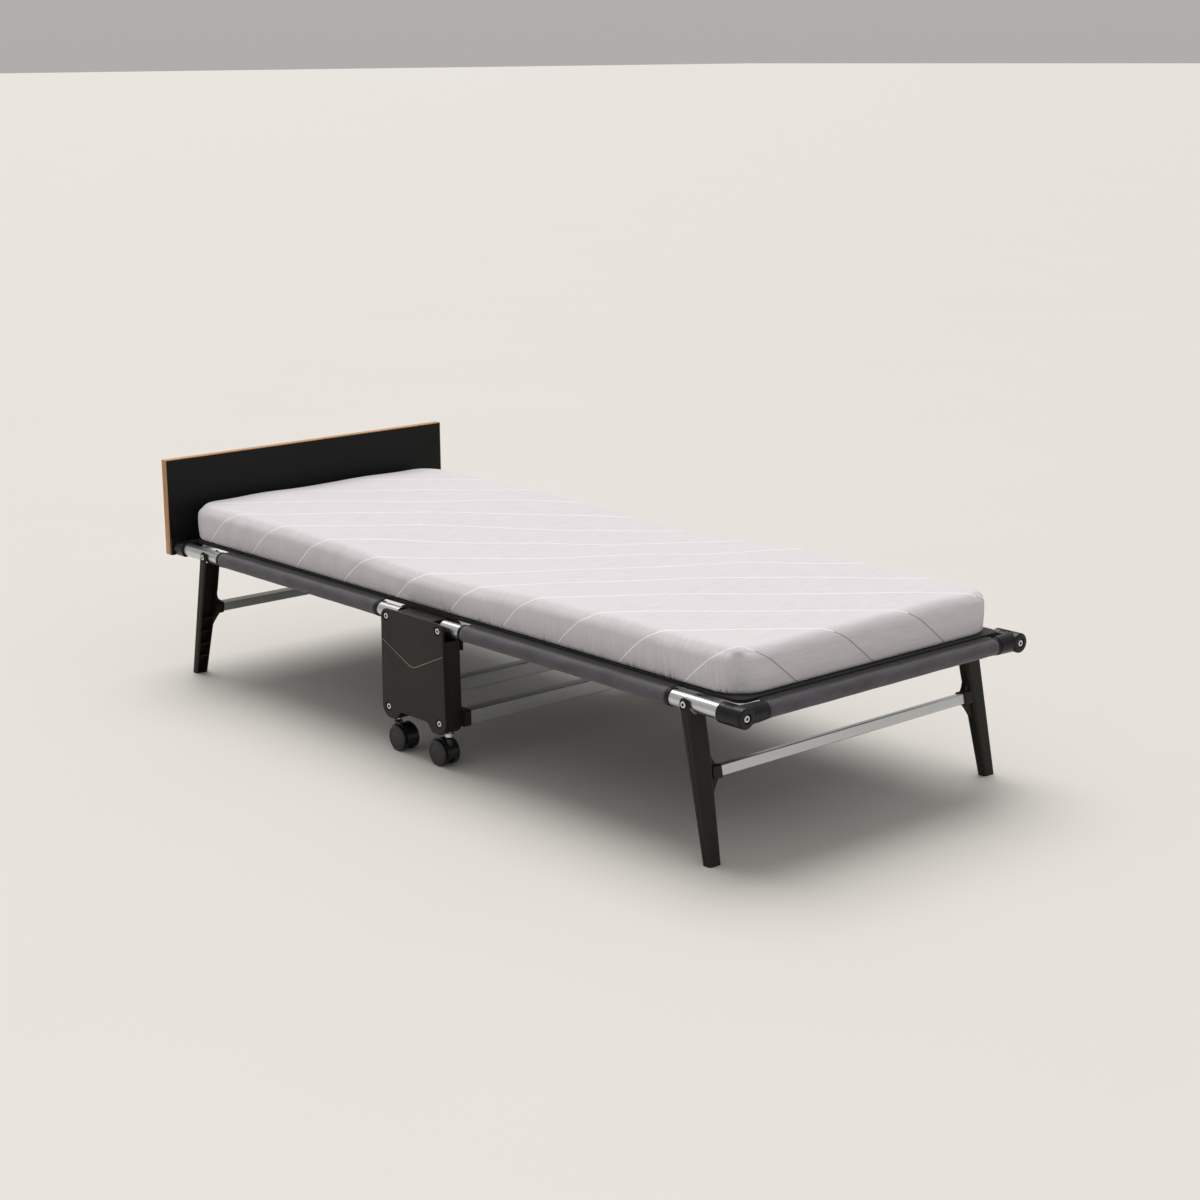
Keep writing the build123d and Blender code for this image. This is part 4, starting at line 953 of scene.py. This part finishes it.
def make_sleeve(name, node, body, place, along, apex, settings, finishes):
    """A woven sleeve on its tube, between its collars, with a mesh flap to the deck."""
    weave_finish, flap_finish, thread_finish = finishes
    start, end = along
    radius, inner_radius = place["sleeve_radius"], place["tube_radius"]
    outer, inner, on_flap, angles = sleeve_loop(radius, inner_radius, apex, settings.ply)
    stations = graded([(start, 0), (end, 5 * MM)])
    count = len(outer)
    points, cloth = [], []
    lengths = [0.0]
    for first, second in zip(outer, outer[1:]):
        lengths.append(lengths[-1] + math.dist(first, second))
    for t in stations:
        hem = 0.3 * MM * (1 - float(smooth(np.array(min(t - start, end - t)), 9 * MM, 13 * MM)))
        for (p, q), flat, angle in zip(outer, on_flap, angles):
            ripple = 0.22 * MM * math.sin(t / (19 * MM) + 3 * angle) * math.sin(t / (47 * MM) - angle)
            ease = 1 + (0 if flat else (hem + ripple) / radius)
            points.append(place["to_world"](t, p * ease, q * ease))
    for t in stations:
        points.extend(place["to_world"](t, p, q) for p, q in inner)
    shell = len(stations) * count
    faces, uvs, kinds = [], [], []
    for index in range(len(stations) - 1):
        for side in range(count):
            turn = (side + 1) % count
            near, far = index * count, (index + 1) * count
            u = stations[index], stations[index + 1]
            v = lengths[side], lengths[side] + math.dist(outer[side], outer[turn])
            uv = [(u[0], v[0]), (u[0], v[1]), (u[1], v[1]), (u[1], v[0])]
            flap_face = int(on_flap[side] or (on_flap[turn] and side > 0) or (side == count - 1))
            faces.append((near + side, near + turn, far + turn, far + side))
            faces.append((shell + near + side, shell + far + side, shell + far + turn, shell + near + turn))
            uvs.extend(uv + [uv[0], uv[3], uv[2], uv[1]])
            kinds.extend([flap_face, 0])
    for index in (0, len(stations) - 1):
        for side in range(count):
            turn = (side + 1) % count
            base = index * count
            faces.append((base + side, base + turn, shell + base + turn, shell + base + side))
            uvs.extend([(stations[index], lengths[side])] * 4)
            kinds.append(0)
    sleeve = new_object(name, points, faces, weave_finish)
    sleeve.data.materials.append(flap_finish)
    layer = sleeve.data.uv_layers.new(name="cloth")
    layer.data.foreach_set("uv", np.array(uvs, np.float32).ravel())
    sleeve.data.polygons.foreach_set("material_index", kinds)
    face_outwards(sleeve)

    seam = angles[0] + 0.16
    seam_point = (radius + 0.2 * MM) * math.cos(seam), (radius + 0.2 * MM) * math.sin(seam)
    row = [place["to_world"](t, *seam_point) for t in (start + 6 * MM, end - 6 * MM)]
    stitches = sew(f"{name}_stitches", row, settings, thread_finish)
    for piece in (sleeve, stitches):
        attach(piece, body)
    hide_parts(node)
    girth = lengths[-1] + math.dist(outer[-1], outer[0])
    flat = girth, end - start


def rail_sleeve(end, side, settings, finishes):
    """The sleeve on one side rail."""
    node = f"{end}_sleeve_{side}"
    low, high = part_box(node)
    deck_low, deck_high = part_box(f"{end}_deck")
    axis_y, axis_z = (low.y + high.y) / 2, (low.z + high.z) / 2
    way = math.copysign(1, axis_y)
    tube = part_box(f"{end}_rail_{side}")
    place = {
        "sleeve_radius": (high.z - low.z) / 2,
        "tube_radius": (tube[1].z - tube[0].z) / 2 + 0.05 * MM,
        "to_world": lambda t, p, q: (t, axis_y - way * p, axis_z + q),
        "tube": f"{end}_rail_{side}",
    }
    apex = abs(axis_y) - deck_high.y + 1 * MM, (deck_low.z + deck_high.z) / 2 - axis_z
    name, along = f"sleeve_{end}_{side}", (low.x, high.x)
    make_sleeve(name, node, f"{end}_frame", place, along, apex, settings, finishes)


def foot_end_sleeve(settings, finishes):
    """The sleeve on the tube across the foot end."""
    low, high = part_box("foot_end_sleeve")
    deck_low, deck_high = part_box("foot_deck")
    axis_x, axis_z = (low.x + high.x) / 2, (low.z + high.z) / 2
    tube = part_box("foot_end_tube")
    place = {
        "sleeve_radius": (high.z - low.z) / 2,
        "tube_radius": (tube[1].z - tube[0].z) / 2 + 0.05 * MM,
        "to_world": lambda t, p, q: (axis_x - p, t, axis_z + q),
        "tube": "foot_end_tube",
    }
    apex = axis_x - deck_high.x + 1 * MM, (deck_low.z + deck_high.z) / 2 - axis_z
    name, along = "sleeve_foot_end", (low.y, high.y)
    make_sleeve(name, "foot_end_sleeve", "foot_frame", place, along, apex, settings, finishes)


# ---------------------------------------------------------------- stage

KEY_PLACE = (-1.0, 0.5, 2.6)
KEY_COLOUR = (1.0, 0.985, 0.96)
FILL_PLACE = (3.4, -1.7, 1.0)
FILL_COLOUR = (0.96, 0.98, 1.0)
LIGHT_TARGET = (0, 0, 0.3)
LIGHT_SPREAD = math.radians(50)
CAMERA_PLACE = (3.5239, -2.9582, 1.3974)
CAMERA_TURN = (138.872, -13.878, -0.4143)  # yaw, pitch and roll in degrees


def aimed(place, yaw, pitch, roll=0.0):
    """Placement of a camera that stands at a point, turned about Z, tipped from level and rolled."""
    forward = Vector((math.cos(yaw) * math.cos(pitch), math.sin(yaw) * math.cos(pitch), math.sin(pitch)))
    right = Vector((math.sin(yaw), -math.cos(yaw), 0))
    up = right.cross(forward)
    across = math.cos(roll) * right + math.sin(roll) * up
    upright = math.cos(roll) * up - math.sin(roll) * right
    axes = Matrix((across, upright, -forward)).transposed().to_4x4()
    return Matrix.Translation(place) @ axes


def add_light(name, place, power, colour):
    """A soft distant light that points at the middle of the bed from a place."""
    light = bpy.data.lights.new(name, "SUN")
    light.angle = LIGHT_SPREAD
    light.energy = power
    light.color = colour
    lamp = bpy.data.objects.new(name, light)
    lamp.location = place
    lamp.rotation_mode = "QUATERNION"
    lamp.rotation_quaternion = (Vector(LIGHT_TARGET) - Vector(place)).to_track_quat("-Z", "Y")
    bpy.context.scene.collection.objects.link(lamp)


def make_air(settings):
    """Soft light from all round, palest overhead."""
    world = bpy.data.worlds.new("studio_air")
    world.use_nodes = True
    tree = world.node_tree
    way = add_node(tree, "ShaderNodeTexCoord").outputs["Generated"]
    height = add_node(tree, "ShaderNodeSeparateXYZ", inputs={"Vector": way}).outputs["Z"]
    air = tree.nodes["Background"]
    colour = wire(tree, "mix", wire(tree, "band", height, 0.0, 0.8), settings.horizon, settings.zenith)
    connect(tree, air, {"Color": colour, "Strength": settings.air_strength})
    return world


def make_floor(settings):
    """A plain pale painted floor with a faint roller mottle."""
    material, tree, shader = new_material("painted_floor")
    cloud = mottle(tree, (1.2, 1.2, 1.2), detail=3)
    pale = settings.floor_colour
    mottled = wire(tree, "mix", cloud, [c * 0.97 for c in pale], pale)
    connect(tree, shader, {"Base Color": mottled, "Roughness": 0.6})
    half = settings.floor_width / 2
    corners = [(-half, -half, 0), (half, -half, 0), (half, half, 0), (-half, half, 0)]
    floor = new_object("floor", corners, [(0, 1, 2, 3)], material)


# ---------------------------------------------------------------- operators


def shared(name, make, *values):
    """A material by its name, made the first time that it is asked for."""
    return bpy.data.materials.get(name) or make(name, *values)


def nodes_with_slot(slot):
    """CAD nodes whose finish is this slot in the record."""
    return [part["node"] for part in frame["record"]["subparts"] if part["material_slot"] == slot]


class GUESTBED_OT_moulded_parts(bpy.types.Operator):
    """Finish the moulded nylon parts: hinge covers, housings, legs, connectors, brackets and collars"""

    bl_idname = "guestbed.moulded_parts"
    bl_label = "Moulded parts"

    def execute(self, context):
        settings = context.scene.guestbed_finishes
        name, grain = "moulded_nylon", settings.grain
        moulded = shared(name, make_moulded_nylon, settings.plastic, grain)
        connector = shared(f"{name}_connector", make_moulded_nylon, settings.connector, grain, 0.27)
        collar = shared(f"{name}_collar", make_moulded_nylon, settings.collar, grain, 0.5)
        for node in nodes_with_slot("moulded_plastic"):
            refinish(node, connector if node.startswith(("corner_", "headboard_")) else moulded)
        for node in nodes_with_slot("collar_plastic") + nodes_with_slot("inner_plastic"):
            refinish(node, collar)
        for side in SIDES:
            make_groove_line(side, settings, shared("enamel_pinstripe", make_pinstripe, settings.pinstripe))
        return {"FINISHED"}


class GUESTBED_OT_castors(bpy.types.Operator):
    """Finish the castor wheels and hoods in glossy nylon"""

    bl_idname = "guestbed.castors"
    bl_label = "Castors"

    def execute(self, context):
        settings = context.scene.guestbed_finishes
        nylon = shared("polished_castor_nylon", make_castor_nylon, settings.wheel)
        hoods = [node for node in frame["nodes"] if node.startswith("castor_hood")]
        for node in nodes_with_slot("wheel_nylon") + hoods:
            refinish(node, nylon)
        return {"FINISHED"}


class GUESTBED_OT_tubes(bpy.types.Operator):
    """Finish the aluminium tubes, with die lines along each tube"""

    bl_idname = "guestbed.tubes"
    bl_label = "Aluminium tubes"

    def execute(self, context):
        settings = context.scene.guestbed_finishes
        for node in nodes_with_slot("satin_aluminium"):
            low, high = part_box(node)
            axis = 0 if high.x - low.x > high.y - low.y else 1
            name = f"satin_aluminium_along_{'xy'[axis]}"
            refinish(node, shared(name, make_satin_aluminium, settings.aluminium, axis))
        return {"FINISHED"}


class GUESTBED_OT_fasteners(bpy.types.Operator):
    """Finish the screws, bolts, pins and castor stems in bright zinc"""

    bl_idname = "guestbed.fasteners"
    bl_label = "Fasteners"

    def execute(self, context):
        settings = context.scene.guestbed_finishes
        for node in nodes_with_slot("zinc_steel"):
            refinish(node, shared("bright_zinc_plate", make_zinc_plate, settings.zinc))
        return {"FINISHED"}


class GUESTBED_OT_headboard(bpy.types.Operator):
    """Finish the headboard in black laminate with an oak edge band"""

    bl_idname = "guestbed.headboard"
    bl_label = "Headboard"

    def execute(self, context):
        settings = context.scene.guestbed_finishes
        refinish("headboard", shared("black_melamine_laminate", make_laminate, settings.board))
        refinish("headboard_edging", shared("lacquered_oak_edging", make_oak_edging, settings.edging))
        return {"FINISHED"}


class GUESTBED_OT_mattress(bpy.types.Operator):
    """Make the two mattress halves in their knitted cover"""

    bl_idname = "guestbed.mattress"
    bl_label = "Mattress"

    def execute(self, context):
        settings = context.scene.guestbed_mattress
        cover = shared("silky_stretch_knit", make_knit_cover, settings)
        for end in ENDS:
            make_mattress_half(end, settings, cover)
        return {"FINISHED"}


class GUESTBED_OT_deck(bpy.types.Operator):
    """Make the two halves of the mesh deck with rim cords and stitches"""

    bl_idname = "guestbed.deck"
    bl_label = "Mesh deck"

    def execute(self, context):
        settings = context.scene.guestbed_deck
        sleeves = context.scene.guestbed_sleeves
        mesh_finish = shared("polyester_spacer_mesh", make_spacer_mesh, settings.yarn, settings.hole_pitch)
        cord_finish = shared("braided_rim_cord", make_sewing_thread, settings.cord_colour)
        thread = shared("sewing_thread", make_sewing_thread, sleeves.thread_colour)
        for end in ENDS:
            make_deck_half(end, settings, sleeves, (mesh_finish, cord_finish, thread))
        return {"FINISHED"}


class GUESTBED_OT_sleeves(bpy.types.Operator):
    """Make the woven sleeves that carry the deck on the tubes"""

    bl_idname = "guestbed.sleeves"
    bl_label = "Sleeves"

    def execute(self, context):
        settings = context.scene.guestbed_sleeves
        deck = context.scene.guestbed_deck
        yarns = settings.warp, settings.weft, settings.weave_pitch
        weave = shared("polyester_plain_weave", make_plain_weave, *yarns)
        flap = shared("polyester_spacer_mesh", make_spacer_mesh, deck.yarn, deck.hole_pitch)
        thread = shared("sewing_thread", make_sewing_thread, settings.thread_colour)
        for end in ENDS:
            for side in SIDES:
                rail_sleeve(end, side, settings, (weave, flap, thread))
        foot_end_sleeve(settings, (weave, flap, thread))
        return {"FINISHED"}


class GUESTBED_OT_stage(bpy.types.Operator):
    """Make the floor, the lights and the camera"""

    bl_idname = "guestbed.stage"
    bl_label = "Stage"

    def execute(self, context):
        settings = context.scene.guestbed_stage
        scene = context.scene
        scene.view_settings.view_transform = "Standard"
        make_floor(settings)
        scene.world = make_air(settings)
        add_light("key_light", KEY_PLACE, settings.key_power, KEY_COLOUR)
        add_light("fill_light", FILL_PLACE, settings.fill_power, FILL_COLOUR)
        lens = bpy.data.cameras.new("camera")
        lens.lens = settings.lens
        lens.clip_end = settings.floor_width * 2
        camera = bpy.data.objects.new("camera", lens)
        camera.matrix_world = aimed(CAMERA_PLACE, *map(math.radians, CAMERA_TURN))
        scene.collection.objects.link(camera)
        scene.camera = camera
        return {"FINISHED"}


OPERATORS = (
    GUESTBED_OT_stage,
    GUESTBED_OT_moulded_parts,
    GUESTBED_OT_castors,
    GUESTBED_OT_tubes,
    GUESTBED_OT_fasteners,
    GUESTBED_OT_headboard,
    GUESTBED_OT_mattress,
    GUESTBED_OT_deck,
    GUESTBED_OT_sleeves,
)
SETTINGS = {
    "guestbed_mattress": MattressSettings,
    "guestbed_deck": DeckSettings,
    "guestbed_sleeves": SleeveSettings,
    "guestbed_finishes": FinishSettings,
    "guestbed_stage": StageSettings,
}


class GUESTBED_PT_panel(bpy.types.Panel):
    """Lists the pieces of the bed and their settings"""

    bl_idname = "GUESTBED_PT_panel"
    bl_label = "Folding guest bed"
    bl_space_type = "VIEW_3D"
    bl_region_type = "UI"
    bl_category = "Guest Bed"

    def draw(self, context):
        layout = self.layout
        for operator in OPERATORS:
            layout.operator(operator.bl_idname)
        for name, group in SETTINGS.items():
            box = layout.box()
            box.label(text=group.__doc__)
            for prop in group.__annotations__:
                box.prop(getattr(context.scene, name), prop)


def register():
    """Register the settings, the operators and the panel."""
    for name, group in SETTINGS.items():
        bpy.utils.register_class(group)
        setattr(bpy.types.Scene, name, PointerProperty(type=group))
    for made in (*OPERATORS, GUESTBED_PT_panel):
        bpy.utils.register_class(made)


def unregister():
    """Remove what register added."""
    for made in (GUESTBED_PT_panel, *reversed(OPERATORS)):
        bpy.utils.unregister_class(made)
    for name, group in SETTINGS.items():
        delattr(bpy.types.Scene, name)
        bpy.utils.unregister_class(group)


def main():
    """Build the scene."""
    register()
    for operator in OPERATORS:
        getattr(bpy.ops.guestbed, operator.bl_idname.split(".")[1])()


if __name__ == "__main__":
    main()
